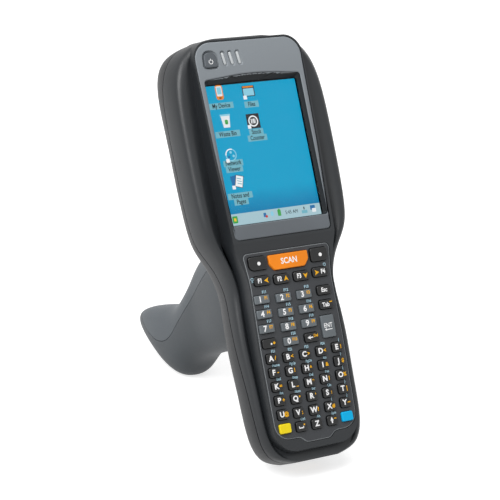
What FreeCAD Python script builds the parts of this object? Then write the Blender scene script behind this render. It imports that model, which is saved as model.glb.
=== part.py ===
import FreeCAD, Part
import math
import os

# Portable barcode terminal with a pistol grip, in millimetres and degrees.
# It is drawn flat, with x across the screen, y up towards the head and z out of the screen,
# from the middle of the touch panel's face, and is then stood up on its tail and its heel.

# Pose on the table
LEAN = 31.8
FLOOR_DROP = 148.7

# Body outline
HEAD_HALF_WIDTH = 45.3
HEAD_TOP = 61.2
HEAD_ROUND_FROM = 0.0
WAIST_HALF_WIDTH = 31.6
WAIST_Y = -70.0
GRIP_HALF_WIDTH = 33.0
TAIL_HALF_WIDTH = 32.0
TAIL_END = -157.5
TAIL_ROUND_FROM = -120.0
CORNER_POWER = 4.7
TAIL_CORNER_POWER = 4.4
CAP_SHARE = 0.992

# Body depth
HEAD_CREST = 0.0
GRIP_CREST = -5.6
HEAD_REAR = -38.0
GRIP_REAR = -31.2
HEAD_SHOULDER = 4.4
GRIP_SHOULDER = 3.4
WIDEST_Z = -14.0
HEAD_SEAM = -14.3
TAIL_SEAM = -9.2
SEAM_GAP = 0.5
SIDE_LEAN = 0.6
HEAD_LEAN = 3.6
FRONT_END_ROUND = 7.0
FRONT_TAIL_ROUND = 2.4
REAR_END_ROUND = 2.6
REAR_TAIL_ROUND = 2.0
WALL = 2.2
POST_FIT = 0.3

# Raised centre of the front
PLATEAU_TOP_Y = 58.4
PLATEAU_TOP_HALF = 32.4
PLATEAU_NECK_Y = -46.0
PLATEAU_NECK_HALF = 30.2
PLATEAU_WAIST_HALF = 24.6
PLATEAU_GRIP_HALF = 25.5
PLATEAU_TAIL_Y = -150.6
PLATEAU_DRAFT = 0.15
PLATEAU_FOOT = -9.0
PLATEAU_CORNER = 10.2

# Screen and bezel
SCREEN_HALF_WIDTH = 26.82
SCREEN_HALF_HEIGHT = 35.76
BEZEL_FACE = 2.8
BEZEL_TOP_Y = 57.5
BEZEL_FOOT_Y = -44.0
BEZEL_TOP_HALF = 31.6
BEZEL_FOOT_HALF = 28.5
BEZEL_CORNER = 9.5
BEZEL_FIT = 0.15
GLASS_THICK = 1.2
MODULE_THICK = 3.8
TRAY_THICK = 0.8
LEDGE_THICK = 1.3

# Keypad, drawn on its own plane, which slopes down towards the tail
KEYPAD_Y = -60.0
KEYPAD_Z = 1.16
KEYPAD_SLOPE = 2.634
PANEL_THICK = 1.2
PANEL_TOP_Y = -50.7
PANEL_TOP_HALF = 26.0
PANEL_WAIST_HALF = 24.2
PANEL_GRIP_HALF = 24.9
PANEL_TAIL_Y = -145.3
PANEL_BULGE_Y = -148.4
PANEL_FIT = 0.12
POCKET_HALF = 23.95
POCKET_TOP_Y = -52.0
POCKET_TAIL_Y = -143.6
POCKET_CORNER = 5.5
PANEL_CORNER = 8.5
BOARD_THICK = 1.2
BOARD_FIT = 0.3
BOARD_LEDGE = 1.3

# Keys
KEY_RISE = 1.1
KEY_GAP = 0.25
KEY_TRAVEL = 0.8
KEY_FLANGE_GAP = 0.1
KEY_FLANGE = 0.8
KEY_FLANGE_OUT = 0.6
KEY_PLUNGER = 1.3
KEY_PLUNGER_RADIUS = 1.3
DOME_RADIUS = 1.7
DOME_RISE = 0.45
DOME_SHEET = 0.2
DOME_GAP = 0.15
SMILE = 0.74
SMILE_SPAN = 20.0

NUMBER_COLUMNS = (-19.3, -6.6, 5.65, 17.65)
NUMBER_ROW_Y = -75.1
NUMBER_PITCH = 7.36
NUMBER_KEY = (8.6, 4.3, 0.7)
EDIT_KEY = (8.2, 4.6, 1.1)
ENTER_KEY = (7.7, 11.4, 0.8)

LETTER_ROW_Y = -104.9
LETTER_PITCH_Y = 7.05
LETTER_PITCH_TOP = 9.8
LETTER_PITCH_TAIL = 9.3
LETTER_KEY = (6.0, 4.9, 1.1)
COLOUR_KEY = (6.6, 4.8, 0.9)

FUNCTION_ROW_Y = -65.7
FUNCTION_OUTER_X = 17.3
FUNCTION_INNER_X = 5.83
FUNCTION_KEY = (9.3, 4.8, 1.4)

SOFT_KEY_X = 18.3
SOFT_KEY_Y = -56.9
SOFT_KEY = (10.2, 6.8, 1.2)
SOFT_KEY_OUTER_ROUND = 3.0
SCAN_KEY_TOP = -53.2
SCAN_KEY_FOOT = -60.9
SCAN_KEY_HALF = 11.6
SCAN_KEY_FOOT_HALF = 8.9

# Power key, lamps and their board
POWER_X = -22.8
POWER_FOOT_Y = 44.4
POWER_TOP_Y = 52.2
POWER_HALF = 3.8
POWER_TOP_HALF = 3.3
POWER_PROUD = 0.4
POWER_TRAVEL = 0.6
POWER_GAP = 0.2
LAMP_X = (-14.7, -10.4, -6.0)
LAMP_Y = 48.5
LAMP_LENGTH = 6.6
LAMP_WIDTH = 1.5
LAMP_TILT = 8.0
LAMP_GROOVE = 0.75
INDICATOR_Z = -3.1
INDICATOR_THICK = 1.2

# Inside the head
MAIN_BOARD_Z = -10.2
MAIN_BOARD_THICK = 1.6
MAIN_BOARD_HALF = 29.5
MAIN_BOARD_TOP_Y = 35.0
MAIN_BOARD_FOOT_Y = -44.0
SHIELD_HALF = 14.0
SHIELD_HEIGHT = 3.6
SHIELD_WALL = 0.4
SCAN_ENGINE_HALF = 12.0
SCAN_ENGINE_Y = (37.0, 55.5)
SCAN_ENGINE_Z = (-31.0, -17.5)
WINDOW_HALF = 13.5
WINDOW_Z = (-31.5, -17.5)
WINDOW_THICK = 1.5
SPEAKER_RADIUS = 10.0
SPEAKER_Y = -2.0
SPEAKER_THICK = 4.2

# Battery, its bay and its latch
BAY_HALF = 25.0
BAY_TOP_Y = -107.0
BAY_TAIL_Y = -150.0
BAY_FLOOR = -13.0
BAY_WALL = 1.6
BATTERY_FIT = 0.3
LATCH_PAD_HALF = 7.0
LATCH_PAD_Y = (-104.6, -98.2)
LATCH_TRAVEL = 3.5
LATCH_FIT = 0.25
LATCH_PROUD = 1.6
LATCH_PLATE_THICK = 1.4
LATCH_BOLT_HALF = 4.0
LATCH_BOLT_REACH = 2.4
SPRING_WIRE = 0.35
SPRING_TURNS = 6

# Screws
SCREW_RADIUS = 1.2
SCREW_HEAD_RADIUS = 2.5
SCREW_HEAD = 1.8
SCREW_CLEARANCE = 0.15
POST_RADIUS = 4.0
HEAD_POSTS = ((34.0, 35.0), (36.0, -22.0))
WAIST_POST = (25.4, -74.0)
POST_HEAD_Z = -20.5

# Dock connector
DOCK_HALF = 10.0
DOCK_Z = (-23.5, -18.0)
DOCK_RECESS_HALF = 12.5
DOCK_RECESS_TALL = 10.0
DOCK_RECESS_DEPTH = 1.0
DOCK_DEPTH = 2.4
DOCK_PADS = 10

# Pistol grip: front and rear points of its side view, and half widths, from the body to the heel
GRIP_TOP = ((-27.0, -24.0), (-92.6, -24.0), 19.6)
GRIP_FLARE = ((-30.5, -38.0), (-93.2, -40.0), 19.4)
GRIP_NECK = ((-35.8, -52.0), (-95.0, -55.0), 18.4)
GRIP_GUARD = ((-40.8, -74.0), (-94.0, -78.0), 14.9)
GRIP_NOTCH = ((-49.0, -83.0), (-93.8, -87.0), 15.0)
GRIP_FINGER = ((-57.0, -96.0), (-94.6, -97.5), 15.2)
GRIP_CREASE = ((-62.8, -107.5), (-97.2, -105.0), 15.5)
GRIP_ANKLE = ((-61.2, -122.0), (-100.2, -109.5), 15.8)
GRIP_TOE = ((-58.8, -138.0), (-102.2, -114.0), 15.6)
GRIP_TIP = ((-57.8, -151.4), (-102.2, -118.2), 14.4)
GRIP_BASE = ((-58.8, -159.6), (-100.0, -122.0), 11.8)
GRIP_SOLE = ((-61.6, -161.4), (-96.6, -126.0), 8.4)
GRIP_POWER = 2.5
GRIP_WALL = 2.4
GRIP_PARTING = ((-44.0, -20.0), (-53.0, -57.0), (-64.0, -82.0), (-74.0, -101.0), (-79.8, -113.0),
                (-79.4, -123.6), (-74.3, -133.8), (-67.0, -142.8), (-59.6, -151.8), (-49.2, -158.6))
PARTING_GAP = 0.3
SHELL_SCREWS = ((-56.0, -78.0), (-66.5, -98.0))
SHELL_SCREW_LENGTH = 16.0

# Trigger
TRIGGER_PIVOT = (-39.5, -41.0)
TRIGGER_HALF = 8.6
TRIGGER_SWING = 8.0
TRIGGER_SLOT_FIT = 0.5
PIN_RADIUS = 1.5
PIN_FIT = 0.04
HUB_RADIUS = 3.4
LUG_FROM = 5.0
EAR_THICK = 2.2
PIN_HALF = 12.2
SWITCH_HALF = 4.0

V = FreeCAD.Vector


def smooth(stations, at):
    """Value at a place from (place, value) pairs, by a cubic that never overshoots."""
    if at <= stations[0][0]:
        return stations[0][1]
    if at >= stations[-1][0]:
        return stations[-1][1]
    steps = []
    for low, high in zip(stations, stations[1:]):
        steps.append((high[1] - low[1]) / (high[0] - low[0]))
    slopes = [0.0]
    for before, after in zip(steps, steps[1:]):
        flat = before * after <= 0
        slopes.append(0.0 if flat else 2 * before * after / (before + after))
    slopes.append(0.0)
    k = 0
    while at > stations[k + 1][0]:
        k += 1
    span = stations[k + 1][0] - stations[k][0]
    t = (at - stations[k][0]) / span
    start = (2 * t**3 - 3 * t**2 + 1) * stations[k][1] + (t**3 - 2 * t**2 + t) * span * slopes[k]
    end = (3 * t**2 - 2 * t**3) * stations[k + 1][1] + (t**3 - t**2) * span * slopes[k + 1]
    return start + end


def box(x, y, z):
    """Block between two limits on each axis."""
    return Part.makeBox(x[1] - x[0], y[1] - y[0], z[1] - z[0], V(x[0], y[0], z[0]))


def rounded(corners):
    """Closed wire on z = 0 through (x, y, radius) corners, with a tangent arc at each."""
    count = len(corners)
    ends = []
    for k, (x, y, radius) in enumerate(corners):
        here = V(x, y, 0)
        before = (V(*corners[k - 1][:2], 0) - here).normalize()
        after = (V(*corners[(k + 1) % count][:2], 0) - here).normalize()
        half = math.acos(max(-1.0, min(1.0, before.dot(after)))) / 2
        reach = radius / math.tan(half)
        middle = (before + after).normalize() * (radius / math.sin(half) - radius)
        ends.append((here + before * reach, here + middle, here + after * reach))
    edges = []
    for k in range(count):
        start, middle, end = ends[k]
        edges.append(Part.Arc(start, middle, end).toShape())
        edges.append(Part.LineSegment(end, ends[(k + 1) % count][0]).toShape())
    return Part.Wire(edges)


def plate(wire, low, high):
    """Solid of a flat wire between two heights."""
    face = Part.Face(wire)
    face.translate(V(0, 0, low))
    return face.extrude(V(0, 0, high - low))


def tapered(low_wire, low, high_wire, high):
    """Solid between two like wires at two heights."""
    low_wire.translate(V(0, 0, low))
    high_wire.translate(V(0, 0, high))
    return Part.makeLoft([low_wire, high_wire], True, True)


def mirrored(half):
    """Corner list of a shape that is the same left and right, from its right half, top to foot."""
    left = [(-x, y, radius) for x, y, radius in reversed(half) if x > 0.001]
    return half + left


def block(width, height, radius, x, y):
    """Rounded rectangle about a point."""
    half_w, half_h = width / 2, height / 2
    corners = ((1, 1), (1, -1), (-1, -1), (-1, 1))
    return rounded([(x + half_w * right, y + half_h * up, radius) for right, up in corners])


def side_prism(points, half_width, curved=False):
    """Solid of a closed side view, in y and z, across the middle plane."""
    spots = [V(-half_width, y, z) for y, z in points]
    if curved:
        spline = Part.BSplineCurve()
        spline.interpolate(spots)
        wire = Part.Wire([spline.toShape(), Part.LineSegment(spots[-1], spots[0]).toShape()])
    else:
        wire = Part.makePolygon(spots + [spots[0]])
    return Part.Face(wire).extrude(V(2 * half_width, 0, 0))


def skinned(rings):
    """Solid under a smooth skin drawn over rings of points, flat at its first and last ring."""
    along = len(rings)
    around = len(rings[0])
    skin = Part.BSplineSurface()
    skin.buildFromPolesMultsKnots(rings, [4] + [1] * (along - 4) + [4], [1] * (around + 1),
                                  [float(k) for k in range(along - 2)], [float(k) for k in range(around + 1)],
                                  False, True, 3, 3)
    side = skin.toShape()
    faces = [side]
    for edge in side.Edges:
        if edge.isClosed():
            faces.append(Part.Face(Part.Wire(edge)))
    shell = Part.Shell(faces)
    shell.sewShape()
    return Part.Solid(shell)


def rod(start, end, radius):
    """Round bar between two points."""
    along = end - start
    return Part.makeCylinder(radius, along.Length, start, along)


# Body shell

WIDTHS = ((TAIL_ROUND_FROM, TAIL_HALF_WIDTH), (-98.0, GRIP_HALF_WIDTH), (-84.0, GRIP_HALF_WIDTH - 0.5),
          (WAIST_Y, WAIST_HALF_WIDTH), (-61.0, WAIST_HALF_WIDTH + 1.5), (-53.5, 36.0), (-47.0, 40.0),
          (-40.0, HEAD_HALF_WIDTH - 2.0), (-28.0, HEAD_HALF_WIDTH - 0.5), (-12.0, HEAD_HALF_WIDTH))
CRESTS = ((TAIL_END, GRIP_CREST - 0.4), (-100.0, GRIP_CREST), (WAIST_Y, GRIP_CREST - 0.3), (-60.0, -4.6),
          (-52.0, -2.6), (-44.0, HEAD_CREST - 0.8), (-32.0, HEAD_CREST))
VALLEY_DEPTHS = ((-155.0, 0.0), (-151.5, 1.8), (-84.0, 1.8), (-72.0, 1.2), (-62.0, 1.6), (-50.0, 4.4),
                 (-38.0, 5.0), (-18.0, 4.2), (10.0, 2.6), (35.0, 1.4), (52.0, 0.2))
SEAMS = ((TAIL_END, TAIL_SEAM - 2.0), (-146.0, TAIL_SEAM - 0.6), (-136.0, TAIL_SEAM), (-120.0, -9.7),
         (-108.0, -10.5), (-86.0, -12.0), (-66.0, -13.4), (-40.0, HEAD_SEAM), (38.0, HEAD_SEAM), (HEAD_TOP, -11.0))
REARS = ((-140.0, GRIP_REAR + 0.6), (-110.0, GRIP_REAR), (-76.0, GRIP_REAR - 0.3), (-40.0, HEAD_REAR + 1.6),
         (-18.0, HEAD_REAR))
REAR_POWERS = ((-76.0, 3.0), (-30.0, 2.1), (10.0, 2.1), (55.0, 2.9))
SHOULDERS = ((-70.0, GRIP_SHOULDER), (-40.0, HEAD_SHOULDER))
PLATEAU_HALVES = ((-100.0, PLATEAU_GRIP_HALF), (-68.0, PLATEAU_WAIST_HALF), (-46.0, PLATEAU_NECK_HALF),
                  (40.0, PLATEAU_TOP_HALF))
REAR_ANGLES = (20, 38, 56, 73)


def end_drop(y, end, radius):
    """How far a rounded end has fallen at y, where it stops at end."""
    depth = abs(end - y)
    if depth >= radius:
        return 0.0
    t = 1 - depth / radius
    return radius * (1 - math.sqrt(1 - t * t))


def half_width(y, wall):
    """Half width of the body at y, in from its skin by a wall."""
    if y > HEAD_ROUND_FROM:
        share = (y - HEAD_ROUND_FROM) / (HEAD_TOP - wall - HEAD_ROUND_FROM)
        return (HEAD_HALF_WIDTH - wall) * (1 - share**CORNER_POWER) ** (1 / CORNER_POWER)
    if y < TAIL_ROUND_FROM:
        share = (TAIL_ROUND_FROM - y) / (TAIL_ROUND_FROM - TAIL_END - wall)
        return (TAIL_HALF_WIDTH - wall) * (1 - share**TAIL_CORNER_POWER) ** (1 / TAIL_CORNER_POWER)
    return smooth(WIDTHS, y) - wall


def body_ring(y, wall):
    """Points round the body's section at y, in from its skin by a wall."""
    top, tail = HEAD_TOP - wall, TAIL_END + wall
    end = top if y > WAIST_Y else tail
    fall = end_drop(y, end, FRONT_END_ROUND if y > WAIST_Y else FRONT_TAIL_ROUND)
    lift = end_drop(y, end, REAR_END_ROUND if y > WAIST_Y else REAR_TAIL_ROUND)
    width = half_width(y, wall)
    crest = smooth(CRESTS, y) - wall - fall
    valley = crest - smooth(VALLEY_DEPTHS, y)
    shoulder = smooth(SHOULDERS, y)
    share = max(0.0, (y - HEAD_ROUND_FROM) / (HEAD_TOP - HEAD_ROUND_FROM))
    crest_x = width - SIDE_LEAN - HEAD_LEAN * share**5 - shoulder
    valley_x = min(smooth(PLATEAU_HALVES, y) + 1.6 - wall, crest_x - 1.6)
    depth = WIDEST_Z - (smooth(REARS, y) + wall + lift)
    power = smooth(REAR_POWERS, y)
    half = [(0, valley), (valley_x - 1.0, valley), (valley_x, valley + 0.05)]
    half.append(((valley_x + crest_x) / 2, (valley + crest) / 2))
    for angle in (0, 40, 80):
        turn = math.radians(angle)
        half.append((crest_x + shoulder * math.sin(turn), crest - shoulder * (1 - math.cos(turn))))
    half.append((width, WIDEST_Z))
    for angle in REAR_ANGLES:
        turn = math.radians(angle)
        x = width * math.cos(turn) ** (2 / power)
        half.append((x, WIDEST_Z - depth * math.sin(turn) ** (2 / power)))
    half.append((0, WIDEST_Z - depth))
    right = [V(x, y, z) for x, z in half]
    left = [V(-x, y, z) for x, z in reversed(half[1:-1])]
    return right + left


def body(wall):
    """Solid of the whole body, in from its skin by a wall, with its two flat ends."""
    places = []
    for share in (CAP_SHARE, 0.94, 0.83, 0.62, 0.33):
        places.append(TAIL_ROUND_FROM - share * (TAIL_ROUND_FROM - TAIL_END - wall))
    places += [-116.0, -98.0, -84.0, -76.0, WAIST_Y, -64.0, -58.0, -52.0, -46.0, -40.0, -30.0, -12.0, 8.0]
    for share in (0.4, 0.62, 0.79, 0.9, 0.96, CAP_SHARE):
        places.append(share * (HEAD_TOP - wall))
    return skinned([body_ring(y, wall) for y in places])


def front_side(drop):
    """Everything on the screen's side of the seam, lowered by a drop."""
    line = [V(-60, y, smooth(SEAMS, y) - drop) for y in (-175, -150, -138, -129, -120, -108, -97, -86, -76, -66,
                                                        -53, -40, -20, 10, 38, 46, 54, 62, 80)]
    curve = Part.BSplineCurve()
    curve.interpolate(line)
    lid = [line[-1], V(-60, 80, 40), V(-60, -175, 40), line[0]]
    edges = [curve.toShape()] + [Part.LineSegment(a, b).toShape() for a, b in zip(lid, lid[1:])]
    return Part.Face(Part.Wire(edges)).extrude(V(120, 0, 0))


# Raised centre of the front

def plateau_outline(out):
    """Outline of the raised centre, grown by out."""
    half = [(PLATEAU_TOP_HALF + out, PLATEAU_TOP_Y + out, PLATEAU_CORNER + out),
            (31.8 + out, 0.0, 300.0),
            (PLATEAU_NECK_HALF + out, PLATEAU_NECK_Y, 22.0),
            (PLATEAU_WAIST_HALF + out, -64.5, 40.0),
            (PLATEAU_GRIP_HALF + out, -98.0, 200.0),
            (PLATEAU_GRIP_HALF - 1.2 + out, PLATEAU_TAIL_Y - out, 12.0 + out)]
    return rounded(mirrored(half))


def keypad_height(y):
    """Height of the keypad plane at y."""
    return KEYPAD_Z + (y - KEYPAD_Y) * math.tan(math.radians(KEYPAD_SLOPE))


def plateau():
    """Raised centre, with its sloped walls, cut to the screen's plane and the keypad's."""
    high = 5.0
    solid = tapered(plateau_outline((BEZEL_FACE - PLATEAU_FOOT) * PLATEAU_DRAFT), PLATEAU_FOOT,
                    plateau_outline((BEZEL_FACE - high) * PLATEAU_DRAFT), high)
    step_y = PANEL_TOP_Y - 0.2
    above = [(75, BEZEL_FACE), (BEZEL_FOOT_Y - 1.5, BEZEL_FACE), (step_y, keypad_height(step_y) + 0.15),
             (TAIL_END - 5, keypad_height(TAIL_END - 5) + 0.15), (TAIL_END - 5, 20), (75, 20)]
    return solid.cut(side_prism(above, 60))


def to_keypad(shape):
    """Move a shape drawn flat at the keypad's y onto the keypad plane."""
    shape.rotate(V(0, KEYPAD_Y, 0), V(1, 0, 0), KEYPAD_SLOPE)
    shape.translate(V(0, 0, KEYPAD_Z))
    return shape


def panel_outline(out):
    """Outline of the keypad panel, grown by out."""
    half = [(PANEL_TOP_HALF + out, PANEL_TOP_Y + out, 2.6 + out),
            (PANEL_WAIST_HALF + out, -66.0, 60.0),
            (PANEL_GRIP_HALF + out, -99.0, 200.0),
            (PANEL_GRIP_HALF - 0.5 + out, PANEL_TAIL_Y - out, PANEL_CORNER + out),
            (10.6 + out, PANEL_TAIL_Y - out, 5.0),
            (7.0 + out, PANEL_BULGE_Y - out, 4.0)]
    return rounded(mirrored(half))


def pocket_outline(out):
    """Outline of the pocket under the keypad panel, grown by out."""
    half = [(POCKET_HALF + out, POCKET_TOP_Y + out, 2.0),
            (POCKET_HALF + out, POCKET_TAIL_Y - out, POCKET_CORNER + out)]
    return rounded(mirrored(half))


# Bezel, lamps and power key

def bezel_outline(out):
    """Outline of the bezel, grown by out."""
    half = [(BEZEL_TOP_HALF + out, BEZEL_TOP_Y + out, BEZEL_CORNER + out),
            (30.5 + out, 0.0, 300.0),
            (BEZEL_FOOT_HALF + out, BEZEL_FOOT_Y - out, 2.6 + out)]
    return rounded(mirrored(half))


def screen_hole(grow_x, top, foot, arch):
    """Outline of the hole over the screen, with a slightly arched top."""
    half = [(0.0, top + arch, 150.0),
            (SCREEN_HALF_WIDTH + grow_x, top, 1.6),
            (SCREEN_HALF_WIDTH + grow_x, foot, 1.6)]
    return rounded(mirrored(half))


def power_outline(out):
    """Outline of the power key, grown by out."""
    corners = [(POWER_X - POWER_HALF - out, POWER_FOOT_Y - out, 1.3 + out),
               (POWER_X + POWER_HALF + out, POWER_FOOT_Y - out, 1.3 + out),
               (POWER_X + POWER_TOP_HALF + out, POWER_TOP_Y + out, 2.9 + out),
               (POWER_X - POWER_TOP_HALF - out, POWER_TOP_Y + out, 2.9 + out)]
    return rounded(corners)


def lamp_bar(x, out, low, high):
    """Slanted bar of a lamp at x, grown by out, between two heights."""
    width = LAMP_WIDTH + 2 * out
    bar = plate(block(width, LAMP_LENGTH + 2 * out, width / 2 - 0.01, x, LAMP_Y), low, high)
    bar.rotate(V(x, LAMP_Y, 0), V(0, 0, 1), LAMP_TILT)
    return bar


def display_bezel():
    """Grey frame over the screen, with the power key's hole and the lamps' grooves."""
    solid = plate(bezel_outline(0.0), 0.0, BEZEL_FACE)
    low_hole = screen_hole(0.3, SCREEN_HALF_HEIGHT + 0.3, -SCREEN_HALF_HEIGHT - 0.3, 0.6)
    high_hole = screen_hole(1.5, 38.0, -SCREEN_HALF_HEIGHT - 0.6, 2.6)
    solid = solid.cut(tapered(low_hole, -0.01, high_hole, BEZEL_FACE + 0.01))
    solid = solid.cut(plate(power_outline(POWER_GAP), -1.0, BEZEL_FACE + 1))
    solid = solid.cut(plate(power_outline(POWER_GAP + KEY_FLANGE_OUT), -1.0, 1.2))
    solid = solid.cut(plate(power_outline(1.0), BEZEL_FACE - 0.5, BEZEL_FACE + 1))
    for x in LAMP_X:
        solid = solid.cut(lamp_bar(x, LAMP_GROOVE, BEZEL_FACE - 0.5, BEZEL_FACE + 1))
        solid = solid.cut(lamp_bar(x, 0.1, -1.0, BEZEL_FACE + 1))
    return solid


def power_key():
    """Power key: its cap, the flange that holds it in, and its plunger."""
    cap = plate(power_outline(0.0), 0.5, BEZEL_FACE + POWER_PROUD)
    flange = plate(power_outline(KEY_FLANGE_OUT - 0.05), 0.5, 1.1)
    plunger = Part.makeCylinder(1.5, 1.7, V(POWER_X, power_middle(), -1.2))
    return cap.fuse(flange).fuse(plunger).removeSplitter()


def power_middle():
    """Middle of the power key along y."""
    return (POWER_FOOT_Y + POWER_TOP_Y) / 2


def led_light_pipes():
    """Three clear bars that carry the lamps' light through the bezel."""
    return Part.makeCompound([lamp_bar(x, 0.0, INDICATOR_Z + 0.9, BEZEL_FACE - 0.2) for x in LAMP_X])


def indicator_board():
    """Small board under the bezel with three lamps and the power switch."""
    board = box((-30.0, -2.0), (43.0, 54.0), (INDICATOR_Z - INDICATOR_THICK, INDICATOR_Z))
    for x in LAMP_X:
        lamp = box((x - 0.5, x + 0.5), (LAMP_Y - 1.2, LAMP_Y + 1.2), (INDICATOR_Z - 0.2, INDICATOR_Z + 0.9))
        board = board.fuse(lamp)
    switch_top = -1.2 - POWER_TRAVEL - DOME_GAP
    middle = power_middle()
    can = box((POWER_X - 2.2, POWER_X + 2.2), (middle - 2.2, middle + 2.2),
              (INDICATOR_Z - 0.2, switch_top - 0.4))
    stem = Part.makeCylinder(1.2, 0.6, V(POWER_X, middle, switch_top - 0.6))
    return board.fuse(can).fuse(stem).removeSplitter()


# Screen stack

def touch_panel():
    """Touch panel of clear glass over the display."""
    return plate(rounded(mirrored([(27.9, 37.6, 1.2), (27.9, -37.6, 1.2)])), -GLASS_THICK, 0.0)


def display_module():
    """Flat display with its glass and backlight."""
    wire = rounded(mirrored([(27.6, 37.5, 1.0), (27.6, -41.0, 1.0)]))
    solid = plate(wire, -GLASS_THICK - MODULE_THICK, -GLASS_THICK)
    return solid.cut(box((-30, 30), (-50, -37.6), (-LEDGE_THICK - 0.3, 1.0)))


def tray_floor():
    """Height of the display tray's floor, underneath."""
    return -GLASS_THICK - MODULE_THICK - TRAY_THICK


def display_frame():
    """Pressed metal tray that carries the display and stands on the main board."""
    top = -LEDGE_THICK
    outer = box((-28.8, 28.8), (-42.3, 38.7), (tray_floor(), top))
    inner = box((-27.8, 27.8), (-41.2, 37.7), (tray_floor() + TRAY_THICK, top + 1))
    tray = outer.cut(inner)
    for x in (-24.0, 24.0):
        for y in (-36.0, 28.0):
            tray = tray.fuse(rod(V(x, y, MAIN_BOARD_Z), V(x, y, tray_floor() + 0.1), 2.2))
    return tray.removeSplitter()


def main_board():
    """Main circuit board with its connectors."""
    low = MAIN_BOARD_Z - MAIN_BOARD_THICK
    board = box((-MAIN_BOARD_HALF, MAIN_BOARD_HALF), (MAIN_BOARD_FOOT_Y, MAIN_BOARD_TOP_Y), (low, MAIN_BOARD_Z))
    board = board.fuse(box((-9.0, 9.0), (24.0, 29.0), (low - 2.4, low + 0.2)))
    board = board.fuse(box((18.0, 26.0), (-12.0, 8.0), (low - 1.8, low + 0.2)))
    board = board.fuse(box((-15.0, 15.0), (-43.0, -39.0), (MAIN_BOARD_Z - 0.2, MAIN_BOARD_Z + 2.0)))
    return board.removeSplitter()


def processor_shield():
    """Thin metal can over the processor, on the back of the main board."""
    high = MAIN_BOARD_Z - MAIN_BOARD_THICK
    low = high - SHIELD_HEIGHT
    outer = box((-SHIELD_HALF, SHIELD_HALF), (-30.0, 0.0), (low, high))
    wall = SHIELD_WALL
    inner = box((-SHIELD_HALF + wall, SHIELD_HALF - wall), (-30.0 + wall, -wall), (low + wall, high + 1))
    return outer.cut(inner)


# Keys

class Key:
    """Cap outline of a key, drawn flat, with its middle and its size."""

    def __init__(self, x, y, size, corners=None):
        self.x = x
        self.y = y + SMILE * (x / SMILE_SPAN) ** 2
        self.width, self.height, self.radius = size
        self.corners = corners

    def outline(self, out, flange=0.0):
        """Outline grown by out all round, and by flange more at its top and foot."""
        if self.corners:
            middle = sum(y for x, y, radius in self.corners) / len(self.corners)
            grown = []
            for x, y, radius in self.corners:
                side = out if x > self.x else -out
                end = out + flange if y > middle else -out - flange
                grown.append((x + side, y + end, radius + out))
            return rounded(grown)
        tall = self.height + 2 * out + 2 * flange
        return block(self.width + 2 * out, tall, self.radius + out, self.x, self.y)

    def solid(self):
        """Cap, the flange under the panel, and the plunger over the dome."""
        flange_top = -PANEL_THICK - KEY_FLANGE_GAP
        flange_foot = flange_top - KEY_FLANGE
        cap = plate(self.outline(0.0), flange_foot, KEY_RISE)
        flange = plate(self.outline(-0.1, KEY_FLANGE_OUT), flange_foot, flange_top)
        foot = V(self.x, self.y, flange_foot - KEY_PLUNGER)
        plunger = Part.makeCylinder(KEY_PLUNGER_RADIUS, KEY_PLUNGER + 0.1, foot)
        return cap.fuse(flange).fuse(plunger).removeSplitter()


def letter_row(row, columns=(-2, -1, 0, 1, 2), size=LETTER_KEY):
    """Keys of one row of the letter block, which narrows towards the tail."""
    pitch = LETTER_PITCH_TOP + (LETTER_PITCH_TAIL - LETTER_PITCH_TOP) * row / 5
    return [Key(column * pitch, LETTER_ROW_Y - row * LETTER_PITCH_Y, size) for column in columns]


def soft_key(side):
    """Soft key at one side, with its outer foot corner well rounded."""
    half_w, half_h = SOFT_KEY[0] / 2, SOFT_KEY[1] / 2
    x = side * SOFT_KEY_X
    y = SOFT_KEY_Y + SMILE * (x / SMILE_SPAN) ** 2
    foot_right = SOFT_KEY_OUTER_ROUND if side > 0 else SOFT_KEY[2]
    foot_left = SOFT_KEY[2] if side > 0 else SOFT_KEY_OUTER_ROUND
    corners = [(x + half_w, y + half_h, SOFT_KEY[2]), (x + half_w, y - half_h, foot_right),
               (x - half_w, y - half_h, foot_left), (x - half_w, y + half_h, SOFT_KEY[2])]
    return Key(x, SOFT_KEY_Y, SOFT_KEY, corners)


def scan_key():
    """Wide scan key, narrower at its foot."""
    corners = mirrored([(SCAN_KEY_HALF, SCAN_KEY_TOP, 0.8), (SCAN_KEY_HALF, -57.6, 2.0),
                        (SCAN_KEY_FOOT_HALF, SCAN_KEY_FOOT, 1.6)])
    middle = (SCAN_KEY_TOP + SCAN_KEY_FOOT) / 2
    return Key(0.0, middle, (2 * SCAN_KEY_HALF, SCAN_KEY_TOP - SCAN_KEY_FOOT, 0.8), corners)


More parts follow.
